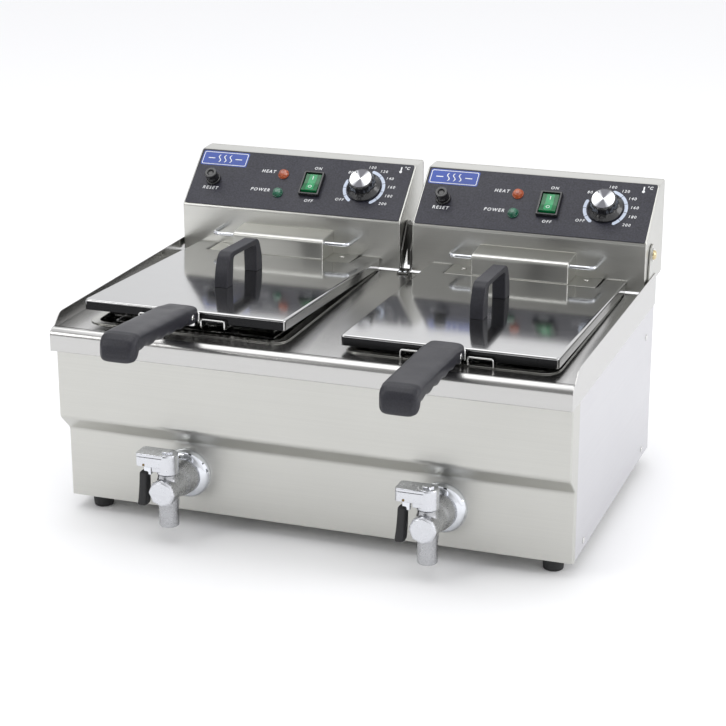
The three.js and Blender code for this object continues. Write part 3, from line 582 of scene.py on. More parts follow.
class FRYER_OT_stage(bpy.types.Operator):
    """Camera, studio surroundings, soft lights and pale floor"""

    bl_idname = "fryer.stage"
    bl_label = "Studio"

    def execute(self, context):
        scene = context.scene
        finishes(scene.fryer_colours)
        scene.view_settings.view_transform = "Standard"
        self.camera(scene)
        self.world(scene, scene.fryer_colours.world)
        self.floor(scene)
        self.light(scene, "overhead", (-0.5, -0.2, 2.4), (0, 0, 0.2), 1.8, 15)
        self.light(scene, "front left", (-1.9, -2.2, 1.5), (0, 0, 0.15), 1.1, 14)
        self.light(scene, "right", (2.4, 0.2, 1.2), (0, 0, 0.15), 1.2, 12)
        return {"FINISHED"}

    def camera(self, scene):
        """The camera stands to the right and above, looking left and down, with a slight roll."""
        a, e, roll = map(math.radians, (19.769, 18.783, -0.093))
        back = Vector((math.sin(a) * math.cos(e), -math.cos(a) * math.cos(e), math.sin(e)))
        right = Vector((math.cos(a), math.sin(a), 0))
        up = back.cross(right)
        right, up = (
            right * math.cos(roll) + up * math.sin(roll),
            up * math.cos(roll) - right * math.sin(roll),
        )
        data = bpy.data.cameras.new("camera")
        data.lens, data.sensor_width, data.clip_start, data.clip_end = 101.58, 36.0, 0.05, 60
        obj = bpy.data.objects.new("camera", data)
        turn = Matrix((right, up, back)).transposed().to_4x4()
        obj.matrix_world = Matrix.Translation((0.71418, -1.95463, 0.86589)) @ turn
        scene.collection.objects.link(obj)
        scene.camera = obj

    def world(self, scene, strength):
        """A white surround with a dark patch in front on the left, pale ones behind and on the right, and a grey
        one on the left. A patch is the smooth step of the cosine between the direction and its middle."""
        world = bpy.data.worlds.new("studio")
        scene.world = world
        world.use_nodes = True
        tree = world.node_tree
        tree.nodes.clear()
        out = tree.nodes.new("ShaderNodeOutputWorld")
        shine = tree.nodes.new("ShaderNodeBackground")
        shine.inputs["Strength"].default_value = strength
        plain = tree.nodes.new("ShaderNodeBackground")
        plain.inputs["Color"].default_value = (1.1, 1.1, 1.1, 1)
        pick = tree.nodes.new("ShaderNodeMixShader")
        path = tree.nodes.new("ShaderNodeLightPath")
        where = tree.nodes.new("ShaderNodeTexCoord")
        colour = None
        patches = [
            ((-0.40, -0.86, 0.32), 0.68, 0.96, (0.30, 0.30, 0.30)),
            ((0.10, 0.96, 0.26), 0.80, 0.97, (1.2, 1.2, 1.22)),
            ((0.93, -0.2, 0.3), 0.72, 0.95, (1.25, 1.25, 1.28)),
            ((-0.98, 0.1, 0.2), 0.86, 0.97, (0.55, 0.55, 0.56)),
        ]
        for middle, begin, full, shade in patches:
            dot = tree.nodes.new("ShaderNodeVectorMath")
            dot.operation = "DOT_PRODUCT"
            dot.inputs[1].default_value = Vector(middle).normalized()
            tree.links.new(where.outputs["Generated"], dot.inputs[0])
            step = tree.nodes.new("ShaderNodeMapRange")
            step.interpolation_type = "SMOOTHSTEP"
            step.inputs["From Min"].default_value = begin
            step.inputs["From Max"].default_value = full
            tree.links.new(dot.outputs["Value"], step.inputs["Value"])
            mix = tree.nodes.new("ShaderNodeMix")
            mix.data_type = "RGBA"
            mix.inputs["B"].default_value = (*shade, 1)
            if colour is None:
                mix.inputs["A"].default_value = (0.98, 0.985, 1.0, 1)
            else:
                tree.links.new(colour, mix.inputs["A"])
            tree.links.new(step.outputs["Result"], mix.inputs["Factor"])
            colour = mix.outputs["Result"]
        tree.links.new(colour, shine.inputs["Color"])
        tree.links.new(path.outputs["Is Camera Ray"], pick.inputs["Fac"])
        tree.links.new(shine.outputs["Background"], pick.inputs[1])
        tree.links.new(plain.outputs["Background"], pick.inputs[2])
        tree.links.new(pick.outputs["Shader"], out.inputs["Surface"])

    def floor(self, scene):
        """A wide disc at floor height."""
        t = np.linspace(0, 2 * math.pi, 96, endpoint=False)
        verts = np.stack([14 * np.cos(t), 14 * np.sin(t), np.full(96, -0.0002)], 1)
        mesh = bpy.data.meshes.new("floor")
        mesh.from_pydata(verts.tolist(), [], [list(range(96))])
        mesh.materials.append(MATERIALS["floor"])
        obj = bpy.data.objects.new("floor", mesh)
        scene.collection.objects.link(obj)

    def light(self, scene, name, place, aim, size, power):
        """A square soft light aimed at a point."""
        data = bpy.data.lights.new(name, "AREA")
        data.size, data.energy = size, power
        obj = bpy.data.objects.new(name, data)
        obj.location = place
        obj.rotation_euler = (Vector(aim) - Vector(place)).to_track_quat("-Z", "Y").to_euler()
        scene.collection.objects.link(obj)


# Casing ----------------------------------------------------------------------------------------

def plan_u(inset, radius, steps=6):
    """The front panel's plan at one height: back edge, side, rounded corner, front, and the same again."""
    x = CASE_X
    return filleted([[-x, RETURN_Y], [-x, inset], [x, inset], [x, RETURN_Y]], radius, closed=False, steps=steps)


class FRYER_OT_casing(bpy.types.Operator):
    """Stepped front panel, side and back sheets, base plate and rubber feet"""

    bl_idname = "fryer.casing"
    bl_label = "Casing"

    def execute(self, context):
        bend = sizes().bend * 1000
        self.front(bend)
        from_node("casing_wrap", "side_and_back_sheets", MATERIALS["side"], "body", 0.35)
        from_node("base_plate", "bottom_sheet", MATERIALS["tank"], "body", 0.3)
        self.feet()
        self.trim()
        return {"FINISHED"}

    def front(self, bend):
        """For each height of the stepped side view, the plan is a rounded U set back by that step, so the
        surface is a function of height and place along the U. The inner skin is the same, one sheet in."""
        side = filleted(
            [[STEP_Y, CASE_Z], [STEP_Y, STEP_LOW], [0, STEP_HIGH], [0, CASE_TOP]], [0, 4, 4, 0], closed=False
        )
        outer = [np.column_stack([plan_u(y, bend), np.full(len(plan_u(y, bend)), z)]) for y, z in side]
        inner = []
        for ring, (y, _) in zip(outer, side):
            back = ring.copy()
            back[:, 0] = np.clip(back[:, 0], -CASE_X + SHEET, CASE_X - SHEET)
            back[:, 1] = np.maximum(back[:, 1], y + SHEET)
            inner.append(back)
        closed = [np.vstack([o, i[::-1]]) for o, i in zip(outer, inner)]
        make("front_sheet", [loft(closed)], MATERIALS["front"], "body", ["front_panel"])

    def feet(self):
        """Tapered rubber feet with a hollow for their screw."""
        profile = round_profile([[0, 3], [4, 3], [4, 0], [10.4, 0], [11.6, 13], [11.6, 17], [0, 17]],
                                [0, 0.4, 0.6, 1.4, 0.6, 0.8, 0])
        for row, y in (("front", 42.7), ("rear", 342.0)):
            for side, v in SIDES.items():
                washer = spun(round_profile([[0, 14.6], [13.2, 14.6], [13.2, 16.6], [0, 16.6]], [0, 0.5, 0.5, 0]))
                make(f"rubber_foot_{row}_{side}",
                     [moved(spun(profile), v["sign"] * 252.7, y), (*moved(washer, v["sign"] * 252.7, y), 1)],
                     [MATERIALS["rubber"], MATERIALS["wire"]], "body", [f"foot_{row}_{side}"])

    def trim(self):
        """Pan-head screws low on the sides and along the low back sheet."""
        head = round_profile([[0, 0], [3.6, 0], [3.6, 0.8], [2.4, 1.5], [0, 1.6]], [0, 0.1, 0.5, 0.8, 0])
        parts = []
        for sign in (-1, 1):
            for y, z in ((60, 27), (330, 27), (330, 160)):
                v, f = spun(head, "x", 24)
                parts.append(((v * [sign, 1, 1]) * [0.8, 1, 1] + [sign * CASE_X, y, z], f))
        for x in (-240, -80, 80, 240):
            for z in (27, 165):
                parts.append(moved(spun(head, "y", 24), x, 365, z))
        make("casing_screws", parts, MATERIALS["wire"], "body", ())


class FRYER_OT_deck(bpy.types.Operator):
    """Pressed deck with its rolled lip, side walls and tank openings, and the pivot brackets"""

    bl_idname = "fryer.deck"
    bl_label = "Deck"

    def execute(self, context):
        self.sheet()
        self.brackets()
        return {"FINISHED"}

    def sheet(self):
        """The deck's side view from under the lip, over the roll and back to the turned-down edge, carried
        across at a row of x values. The grid's cells over the tanks are left out, and side walls are added."""
        roll = sizes().lip * 1000
        view = filleted(
            [[-1.4, 189.6], [-9.9, 189.6], [-9.9, 208.6], [-5.0, 213.6], [-1, 213.5], [3.4, 211.7], [29.5, 211.6]],
            [0, 1.1, roll * 0.7, roll * 0.62, 2.2, 2.6, 0], closed=False, steps=8,
        )
        flat = arr([[313.5, 211.6], [317, 211.6]])
        turn = filleted([[317, 211.6], [319.8, 211.6], [319.8, 200.4]], 1.8, closed=False, steps=4)[1:]
        view = np.vstack([view, flat, turn])
        xs = arr([-279.2, -TANK_X - 105, -TANK_X + 105, TANK_X - 105, TANK_X + 105, 279.2])
        grid = np.stack(np.broadcast_arrays(xs[None, :], view[:, :1], view[:, 1:]), -1)
        n, m = grid.shape[:2]
        i, j = np.meshgrid(np.arange(n - 1), np.arange(m - 1), indexing="ij")
        open_row = int(np.where(np.isclose(view[:, 0], 29.5))[0][0])
        keep = ~((i == open_row) & ((j == 1) | (j == 3)))
        a = (i * m + j)[keep]
        faces = np.stack([a, a + 1, a + 1 + m, a + m], -1).tolist()
        points = (grid.reshape(-1, 3) - [0, BACK, 0]) / 1000
        mesh = bpy.data.meshes.new("deck_sheet")
        mesh.from_pydata(points.tolist(), [], faces)
        settle("deck_sheet", mesh, MATERIALS["deck"], "body", ["deck_top"], 50, 0, SHEET)
        side = filleted(
            [[-10.5, 189], [365, 189], [365, 226], [12, 226], [-1, 213.9], [-5.2, 213.6], [-9, 210.6], [-10.5, 206]],
            [0.6, 0.6, 5, 7, 3, 1.5, 1.5, 1.5],
        )
        walls = [along_x(side, x0, x1, 0.35, 3) for x0, x1 in ((-280, -278.9), (278.9, 280))]
        make("deck_side_walls", walls, MATERIALS["deck"], "body", ())

    def brackets(self):
        """Pivot plates and their bolts, the upright between the heads with its web, and its two screws."""
        for side, v in SIDES.items():
            from_node(f"pivot_bracket_{side}", f"pivot_plate_{side}", MATERIALS["head"], "body", 0.4)
            bolt = round_profile(
                [[0, 268], [5, 268], [5, 271.5], [3, 271.5], [3, 279], [5.4, 279], [5.4, 280.8], [3.8, 282.5],
                 [0, 282.6]],
                [0, 0.4, 0.4, 0, 0, 0.4, 0.8, 1.0, 0])
            washer = [[3.1, 278.75], [7.4, 278.75], [7.4, 279.6], [3.1, 279.6]]
            parts = [spun(bolt, "x", 40), (*spun(washer, "x", 40), 1)]
            parts = [(p[0] * [v["sign"], 1, 1] + [0, 347.3, 250.6], p[1], *p[2:]) for p in parts]
            make(f"pivot_screw_{side}", parts, [MATERIALS["zinc"], MATERIALS["wire"]], "body",
                 [f"pivot_bolt_{side}"])
        # The upright and its web take the near-black painted shade steel.
        from_node("centre_pivot_bracket", "centre_upright", MATERIALS["upright"], "body", 0.35)
        make("upright_web", [along_y(box_loop(-4.5, 4.5, 214.2, 262, 0.4), 340, 341.2)], MATERIALS["upright"], "body",
             ())
        cap = spun(round_profile([[0, 0], [2.3, 0], [2.3, 0.7], [1.5, 1.3], [0, 1.4]], [0, 0.1, 0.4, 0.6, 0]), "z", 24)
        make("upright_screws", [moved(cap, -3.1, 309.5, 214.4), moved(cap, 3.1, 309.5, 214.4)], MATERIALS["chrome"],
             "body", ())


# Tanks and elements ----------------------------------------------------------------------------

def rect_ring(half, y0, y1, radius, z, steps=8):
    """A rounded rectangle at one height, with the same number of points whatever its size."""
    loop = box_loop(-half, half, y0, y1, max(radius, 0.05), steps)
    return np.column_stack([loop, np.full(len(loop), z)])


class FRYER_OT_tanks(bpy.types.Operator):
    """Drawn oil tanks with a flat rim, and the heating elements in them"""

    bl_idname = "fryer.tanks"
    bl_label = "Tanks and elements"

    def execute(self, context):
        for side, v in SIDES.items():
            self.tank(side, v["sign"])
            self.element(side, v["sign"])
        return {"FINISHED"}

    def tank(self, side, sign):
        """A stack of rounded rectangles: up the outside, over the rim, and down the inside to the floor. Each
        is the tank's mouth grown or shrunk by its own offset."""
        outside = [(-9, 42.0), (-2.5, 42.3), (-0.2, 43.8), (1, 48), (1, 211.9), (1.6, 212.45), (9.2, 212.45)]
        rim = [(9.5, 212.7), (9.5, 213.2), (9.2, 213.4), (1.4, 213.4), (0.5, 213.1), (0, 212.2)]
        inside = [(0, 50), (-0.8, 46.4), (-3, 44), (-9, 43.0)]
        rings = [
            rect_ring(102.5 + d, 32 - d * 0.95, 311 + d * 0.89, 12 + d if d > -9 else 6, z)
            for d, z in outside + rim + inside
        ]
        drain = spun([[7, 20.6], [10, 20.6], [10, 33], [7, 33]], "y", 32)
        collar = spun([[7, 31.4], [13, 31.4], [13, 32.4], [7, 32.4]], "y", 32)
        x = sign * (TAP_X - TANK_X)
        parts = [loft(rings), moved(drain, x, 0, TAP_Z), moved(collar, x, 0.4, TAP_Z)]
        parts = [moved(p, sign * TANK_X) for p in parts]
        make(f"oil_tank_{side}", parts, MATERIALS["tank"], "body", [f"tank_{side}"])

    def element(self, side, sign):
        """A round bar down both stems and in a folded loop above the floor."""
        low = 52
        half = [[-25, 335, 238], [-25, 302, 238], [-25, 302, low], [-25, 283, low], [-70, 283, low],
                [-70, 111, low], [-28, 111, low], [-28, 250, low]]
        other = [[-x, y, z] for x, y, z in half[::-1]]
        bar = bent(half + other, 4, 9, 16)
        clips = [along_x(box_loop(y, y + 6, 47.4, 56.8, 1.2), -75, 75, 0.4) for y in (150, 220)]
        parts = [moved(p, sign * TANK_X) for p in [bar, *clips]]
        make(f"element_{side}", parts, MATERIALS["wire"], f"head_{side}", [f"heating_element_{side}"])


# Baskets ---------------------------------------------------------------------------------------

class FRYER_OT_baskets(bpy.types.Operator):
    """Wire-mesh baskets with their rims, hooks and front brackets, and the long plastic grips"""

    bl_idname = "fryer.baskets"
    bl_label = "Baskets"

    def execute(self, context):
        for side, v in SIDES.items():
            self.basket(side, v)
            self.grip(side, v)
        return {"FINISHED"}

    def hang(self, part, v):
        """Moves a basket part to its side, sitting as it rests there."""
        return moved(tipped(part, v["basket"], 265, 221), v["sign"] * TANK_X)

    def basket(self, side, v):
        """The mesh's wires lie on the tapered wall, a straight blend of the foot rectangle and the rim
        rectangle at each height, and cross its floor both ways. Stouter wires make the rims, the legs, the
        hooks and the bracket that holds the grip, and two thin loops stand at the front."""
        pitch, gauge = sizes().pitch * 1000, sizes().gauge * 1000
        foot, rim = (83.2, 82.8, 257.2), (91.2, 45.8, 267.2)
        z0, z1 = 93.2, 220.4

        def level(h):
            return [a + (b - a) * (h - z0) / (z1 - z0) for a, b in zip(foot, rim)]

        starts, ends = [], []
        for h in np.arange(z0 + pitch, z1 - 2, pitch):
            x, y, w = level(h)
            corners = arr([[-x, y, h], [x, y, h], [x, w, h], [-x, w, h]])
            starts.append(corners)
            ends.append(np.roll(corners, -1, 0))
        across = np.linspace(-1, 1, int(2 * foot[0] / pitch) + 1)
        deep = np.linspace(0, 1, int((foot[2] - foot[1]) / pitch) + 1)
        for side_y, foot_y in ((rim[1], foot[1]), (rim[2], foot[2])):
            starts.append(np.column_stack([across * foot[0], np.full(len(across), foot_y), np.full(len(across), z0)]))
            ends.append(np.column_stack([across * rim[0], np.full(len(across), side_y), np.full(len(across), z1)]))
        for sign in (-1, 1):
            y0 = foot[1] + deep * (foot[2] - foot[1])
            y1 = rim[1] + deep * (rim[2] - rim[1])
            starts.append(np.column_stack([np.full(len(deep), sign * foot[0]), y0, np.full(len(deep), z0)]))
            ends.append(np.column_stack([np.full(len(deep), sign * rim[0]), y1, np.full(len(deep), z1)]))
        starts.append(np.column_stack([across * foot[0], np.full(len(across), foot[1]), np.full(len(across), z0)]))
        ends.append(np.column_stack([across * foot[0], np.full(len(across), foot[2]), np.full(len(across), z0)]))
        ys = foot[1] + deep * (foot[2] - foot[1])
        starts.append(np.column_stack([np.full(len(deep), -foot[0]), ys, np.full(len(deep), z0 + gauge * 0.6)]))
        ends.append(np.column_stack([np.full(len(deep), foot[0]), ys, np.full(len(deep), z0 + gauge * 0.6)]))
        mesh = rods(np.vstack(starts), np.vstack(ends), gauge / 2)

        def frame_ring(h, radius, grow=0.0):
            x, y, w = level(h)
            loop = box_loop(-x - grow, x + grow, y - grow, w + grow, 7, 6)
            loop = np.vstack([loop, loop[:1]])
            return tube(np.column_stack([loop, np.full(len(loop), h)]), radius, 10)

        stout = [frame_ring(219.0, 2.4, 0.3), frame_ring(150, 1.5, 0.9), frame_ring(z0 + 1.4, 1.6, 0.2)]
        for x in (-46, 46):
            stout.append(bent([[x, rim[1] - 1, 219], [x, foot[1] - 0.6, z0 - 0.2], [x, foot[2] + 0.6, z0 - 0.2],
                               [x, rim[2] + 1, 219]], 1.6, 7, 10))
        for x in (-40, 40):
            stout.append(bent([[x, 262, 219.3], [x, 277.2, 219.3]], 1.95, 2, 12))
        bracket = [bent([[x, 47, 216], [x, 30, 216], [x, 24.4, 216]], 1.9, 4, 12) for x in (-13, 13)]
        plate = along_y(box_loop(-15, 15, 214, 231, 2.2), 21, 23.4, 0.6)
        frame_wire = bent([[17.6, 46, 216.4], [17.6, 25, 217.4], [17.6, 25, 228.8], [-17.6, 25, 228.8],
                           [-17.6, 25, 217.4], [-17.6, 46, 216.4]], 1.5, 3, 12)
        loops = [bent([[s * 22, 46, 214], [s * 22, 21, 214], [s * 22, 21, 222.5], [s * 48, 21, 222.5],
                       [s * 48, 21, 214], [s * 48, 46, 214]], 0.9, 2.4, 12) for s in (-1, 1)]
        parts = [self.hang(p, v) for p in [mesh, *stout, *bracket, plate, frame_wire, *loops]]
        make(f"wire_basket_{side}", parts, MATERIALS["wire"], f"basket_assembly_{side}", [f"basket_{side}"],
             crease=50)

    def grip(self, side, v):
        """At each station along the grip the section is a rounded box, |x/w|^n + |z/h|^n = 1, whose width,
        top and bottom are functions of the station. The bottom is a cosine of the station over the fingers,
        and the free end turns down and closes."""
        y = np.concatenate([
            -131 + 14 * (1 - np.cos(np.linspace(0, math.pi / 2, 15))), np.linspace(-116.5, 20.2, 118)
        ])
        top = np.interp(y, [-131, -130.2, -128, -123, -116, -2, 20.2],
                        [219, 226, 232.5, 237.2, 238.6, 238.2, 236.4])
        waves = 220.5 + 1.25 * np.cos(2 * math.pi * (y + 112) / 24 + math.pi)
        blend = np.clip((y + 121) / 6, 0, 1) * np.clip((6 - y) / 10, 0, 1)
        plain = np.interp(y, [-131, -130.4, -129, -124.5, -121, -118, -112, 0, 10, 20.2],
                          [215, 212.2, 210.4, 210.3, 211.8, 217.4, 219.4, 218.4, 217.6, 217.6])
        bottom = plain * (1 - blend) + np.where(y > -119, waves, plain) * blend
        width = 19.5 * np.clip(1 - np.clip((-122 - y) / 9.2, 0, 1) ** 3 * 0.3, 0, 1)
        width *= 1 - 0.045 * np.clip((y - 2) / 18, 0, 1)
        t = np.linspace(0, 2 * math.pi, 72, endpoint=False)
        power = 2 / 4.6
        cx = np.sign(np.cos(t)) * np.abs(np.cos(t)) ** power
        cz = np.sign(np.sin(t)) * np.abs(np.sin(t)) ** power
        x = width[:, None] * cx
        z = (top + bottom)[:, None] / 2 + ((top - bottom) / 2)[:, None] * cz
        dish = 1.6 * np.exp(-(((y + 2) / 13.0) ** 2))[:, None] * np.exp(-((x / 8.0) ** 2)) * (cz > 0.6)
        z = z - dish
        grid = np.stack([x, np.broadcast_to(y[:, None], x.shape), z], -1)
        profile = round_profile([[0, -1], [3.4, -1], [3.4, 0.5], [2.2, 1.3], [0, 1.5]], [0, 0, 0.4, 0.6, 0])
        rivet = spun(profile, "x", 28)
        rivets = [(rivet[0] * [s, 1, 1] + [s * 18.7, 8, 226.6], rivet[1], 1) for s in (-1, 1)]
        parts = []
        for p in [loft(grid), *rivets]:
            q = tipped(p, v["grip"], 20.2, 227)
            parts.append((*self.hang(q, v), *p[2:]))
        make(f"basket_grip_{side}", parts, [MATERIALS["plastic"], MATERIALS["wire"]],
             f"basket_assembly_{side}", [f"basket_handle_{side}"], crease=60)


# Lids ------------------------------------------------------------------------------------------

class FRYER_OT_lids(bpy.types.Operator):
    """Polished tray lids with a notch for the element hood, and their arched handles"""

    bl_idname = "fryer.lids"
    bl_label = "Lids"

    def execute(self, context):
        for side, v in SIDES.items():
            self.lid(side, v)
            self.handle(side, v)
        return {"FINISHED"}

    def lay(self, part, v):
        """Moves a lid part to its side, resting as it does there."""
        return moved(tipped(moved(part, 0, LID_BACK, LID_Z), v["lid"], LID_BACK, LID_Z), v["sign"] * TANK_X)

    def lid(self, side, v):
        """The lid's plan, a rectangle with a plain step notched out of its back and its corners eased, at a
        stack of heights: down the inside of the flange, round its edge, up the outside, and over a quarter
        circle to the flat top. The front flange takes near-black steel: painted shade and painted dark reflection."""
        edge, w, n = sizes().lid_edge * 1000, LID_HALF, LID_LENGTH
        plan = filleted(
            [[-w, -n], [w, -n], [w, 0], [87.6, 0], [87.6, -35.9], [-87.6, -35.9], [-87.6, 0], [-w, 0]],
            [edge * 1.6] * 4 + [2.4] * 2 + [edge * 1.6] * 2, steps=6)
        t = np.linspace(0, math.pi / 2, 7)
        stack = [(edge, -1.0), (1.3, -2.2), (1.0, -3.4), (1.0, -11.1), (0.8, -11.45), (0.3, -11.5), (0.0, -11.2)]
        stack += [(edge * (1 - math.cos(a)), -edge * (1 - math.sin(a))) for a in t]
        skin = loft([np.column_stack([offset(plan, d), np.full(len(plan), z)]) for d, z in stack])
        # The front flange's faces take the second material, the near-black painted shade steel.
        low = [skin[0][f].max(0) for f in skin[1]]
        kinds = [int(top[1] < 0.6 - n and top[2] <= -edge + 0.1) for top in low]
        make(f"tray_lid_{side}", [(*self.lay(skin, v), kinds)], [MATERIALS["mirror"], MATERIALS["shade"]],
             f"lid_assembly_{side}", [f"lid_{side}"], crease=45)

    def handle(self, side, v):
        """Two side-view curves, the arch's inside and outside, are split into the same number of steps by
        length. Section k is a rounded rectangle across X whose other side is the line joining point k of one
        to point k of the other."""
        inner = filleted([[-33, 0.3], [-31, 31], [31, 31], [33, 0.3]], 6, closed=False, steps=8)
        outer = filleted([[-50, 0.3], [-49, 16], [-40, 37], [40, 37], [49, 16], [50, 0.3]],
                         [0, 14, 9, 9, 14, 0], closed=False, steps=8)

        def even(curve):
            length = np.concatenate([[0], np.cumsum(np.linalg.norm(np.diff(curve, axis=0), axis=1))])
            at = np.linspace(0, length[-1], 97)
            return np.column_stack([np.interp(at, length, curve[:, k]) for k in (0, 1)])

        rings = []
        for a, b in zip(even(inner), even(outer)):
            middle, half = (a + b) / 2, np.linalg.norm(b - a) / 2
            loop = box_loop(-7.5, 7.5, -half, half, 1.5, 5)
            place = middle + loop[:, 1:] * (b - a) / (2 * half)
            rings.append(np.column_stack([loop[:, 0], place]))
        bar = loft(rings)
        seat = [moved(spun([[0, 0.02], [5.6, 0.02], [5.6, 0.5], [0, 0.5]], "z", 32), 0, y) for y in (-41.5, 41.5)]
        parts = [(*self.lay(moved(p, 0, -LID_LENGTH / 2), v), k) for p, k in [(bar, 0), (seat[0], 1), (seat[1], 1)]]
        make(f"lid_grip_{side}", parts, [MATERIALS["plastic"], MATERIALS["wire"]], f"lid_assembly_{side}",
             [f"lid_handle_{side}"], crease=60)


# Heads -----------------------------------------------------------------------------------------

class FRYER_OT_heads(bpy.types.Operator):
    """Folded control heads with their rear covers, glands, element hoods and hanger rods"""

    bl_idname = "fryer.heads"
    bl_label = "Control heads"

    def execute(self, context):
        for side, v in SIDES.items():
            self.casing(side, v["sign"])
            self.rear(side, v["sign"])
            self.hood(side, v["sign"])
        return {"FINISHED"}

    def casing(self, side, sign):
        """The head's side view with bend radii at its folds and a hem along the front's foot, drawn across with
        its rims rounded."""
        bend = sizes().bend * 1000
        view = filleted(
            [[HEAD_FRONT, 213.3], [325.5, 213.3], [327.5, HEAD_BOTTOM], [405.2, HEAD_BOTTOM], [405.2, 322.5],
             [SLOPE_BACK, HEAD_TOP], [HEAD_FRONT, CREASE]], [2.2, 2.2, 1, 2.4, 2.4, bend * 2.2, bend * 1.6])
        box = moved(along_x(view, -HEAD_HALF, HEAD_HALF, bend * 0.6, 5), sign * HEAD_X)
        make(f"head_sheet_{side}", [box], MATERIALS["head"], f"head_{side}", [f"head_casing_{side}"])

    def rear(self, side, sign):
        """A flat cover with screws and a field of pressed louvres, and the lead's gland."""
        plate = along_y(box_loop(-HEAD_HALF, HEAD_HALF, HEAD_BOTTOM, 322.5, 2.5), 405.5, 406.7, 0.4)
        screw = round_profile([[0, 0], [3.4, 0], [3.4, 0.8], [2.2, 1.5], [0, 1.6]], [0, 0.1, 0.5, 0.8, 0])
        parts = [plate]
        for x in (-126, 0, 126):
            for z in (222.5, 315):
                parts.append((*moved(spun(screw, "y", 24), x, 406.7, z), 1))
        for row in range(5):
            z = 238 + row * 8
            hood = filleted([[406.6, z - 1.8], [408.6, z - 1.2], [406.6, z + 2.6]], [0.5, 0.8, 0.5])
            parts += [along_x(hood, x0, x0 + 44, 0.3) for x0 in (-36, 24)]
            # Near-black strips under each louvre hood: painted shade standing in for the open slot.
            parts += [(*along_x(box_loop(406.5, 406.9, z - 2.6, z - 1.5), x0 + 1, x0 + 43), 2) for x0 in (-36, 24)]
        parts = [(*moved(p, sign * HEAD_X), *p[2:]) for p in parts]
        make(f"head_back_{side}", parts, [MATERIALS["head"], MATERIALS["wire"], MATERIALS["dark"]],
             f"head_{side}", [f"head_rear_cover_{side}"])
        gland = round_profile(
            [[4, 399.2], [9, 399.2], [9, 405.0], [6, 405.0], [6, 407], [9.5, 407], [9.5, 411.7], [8.6, 412],
             [8.2, 415], [6.6, 418.4], [4, 418.7]], [0, 0.3, 0, 0, 0, 0.5, 0.6, 0.4, 1, 1, 0])
        make(f"lead_gland_{side}", [moved(spun(gland, "y", 12), sign * HEAD_X - 95, 0, 290)], MATERIALS["black"],
             f"head_{side}", [f"cable_gland_{side}"])

    def hood(self, side, sign):
        """The hood's side view with its rounded front edge, drawn across, on its floor plate, and the rod
        bent from one head face to the other."""
        view = filleted(
            [[285, 225.2], [320.6, 225.2], [320.6, 252.3], [285.6, 249.4]], [2, 2, 2, 5.5], steps=9)
        cover = along_x(view, -55.4, 55.4, 1.3, 5)
        wide = slab(box_loop(-86.4, 86.4, 284.4, 320.6, 1.5), 224.6, 225.6, 0.25)
        profile = round_profile([[0, 0], [3.1, 0], [3.1, 0.7], [2, 1.3], [0, 1.4]], [0, 0.1, 0.4, 0.7, 0])
        screws = [moved(spun(profile, "z", 24), x, 309, 225.6) for x in (-70, 70)]
        parts = [moved(p, sign * TANK_X) for p in [cover, wide, *screws]]
        make(f"stem_hood_{side}", parts, MATERIALS["head"], f"head_{side}", [f"element_hood_{side}"])
        rod = bent([[-83, 320.6, 244.3], [-83, 292.6, 244.3], [83, 292.6, 244.3], [83, 320.6, 244.3]], 2.3, 9, 20, 9)
        make(f"basket_rod_{side}", [moved(rod, sign * TANK_X)], MATERIALS["chrome"], f"head_{side}",
             [f"hanger_rod_{side}"])


# Control panels --------------------------------------------------------------------------------

def lettering(text, size, x, s, sign, slant, weight):
    """Flat raised lettering on a head's sloped face, with its middle at (x, s)."""
    curve = bpy.data.curves.new("lettering", "FONT")
    curve.body, curve.size, curve.shear = text, size, slant
    curve.align_x, curve.align_y, curve.space_character = "CENTER", "CENTER", 1.3
    curve.offset, curve.extrude, curve.resolution_u = weight * size * 0.25, 0.03, 3
    obj = bpy.data.objects.new("lettering", curve)
    bpy.context.scene.collection.objects.link(obj)
    bpy.context.view_layer.update()
    mesh = bpy.data.meshes.new_from_object(obj.evaluated_get(bpy.context.evaluated_depsgraph_get()))
    co = np.zeros(len(mesh.vertices) * 3)
    mesh.vertices.foreach_get("co", co)
    co = co.reshape(-1, 3)
    co[:, 2] = 0.05 + co[:, 2]
    faces = [list(p.vertices) for p in mesh.polygons]
    bpy.data.objects.remove(obj)
    bpy.data.curves.remove(curve)
    bpy.data.meshes.remove(mesh)
    return on_panel((co, faces), x, s, sign)


def arc_band(cx, cs, radius, width, start, end, sign, high=0.06, low=0.02, ends=1):
    """A flat ring sector: a grid of angle and of the four edges of a thin strip's section. Near a rounded end
    the half width at distance e is that of a circle, sqrt(1 - (1 - e / half)^2)."""
    t = np.radians(np.linspace(start, end, max(3, int(abs(end - start) / 1.5))))[:, None]
    near = radius * np.minimum(t - t[0], t[-1] - t) / (width / 2)
    round_off = np.sqrt(1 - (1 - np.clip(near, 0.03, 1)) ** 2) if ends else np.ones_like(t)
    r = radius + round_off * width / 2 * arr([-1, 1, 1, -1])
    h = arr([low, low, high, high])
    x, s = cx + r * np.cos(t), cs + r * np.sin(t)
    return on_panel(loft(np.stack([x, s, np.broadcast_to(h, x.shape)], -1)), 0, 0, sign)


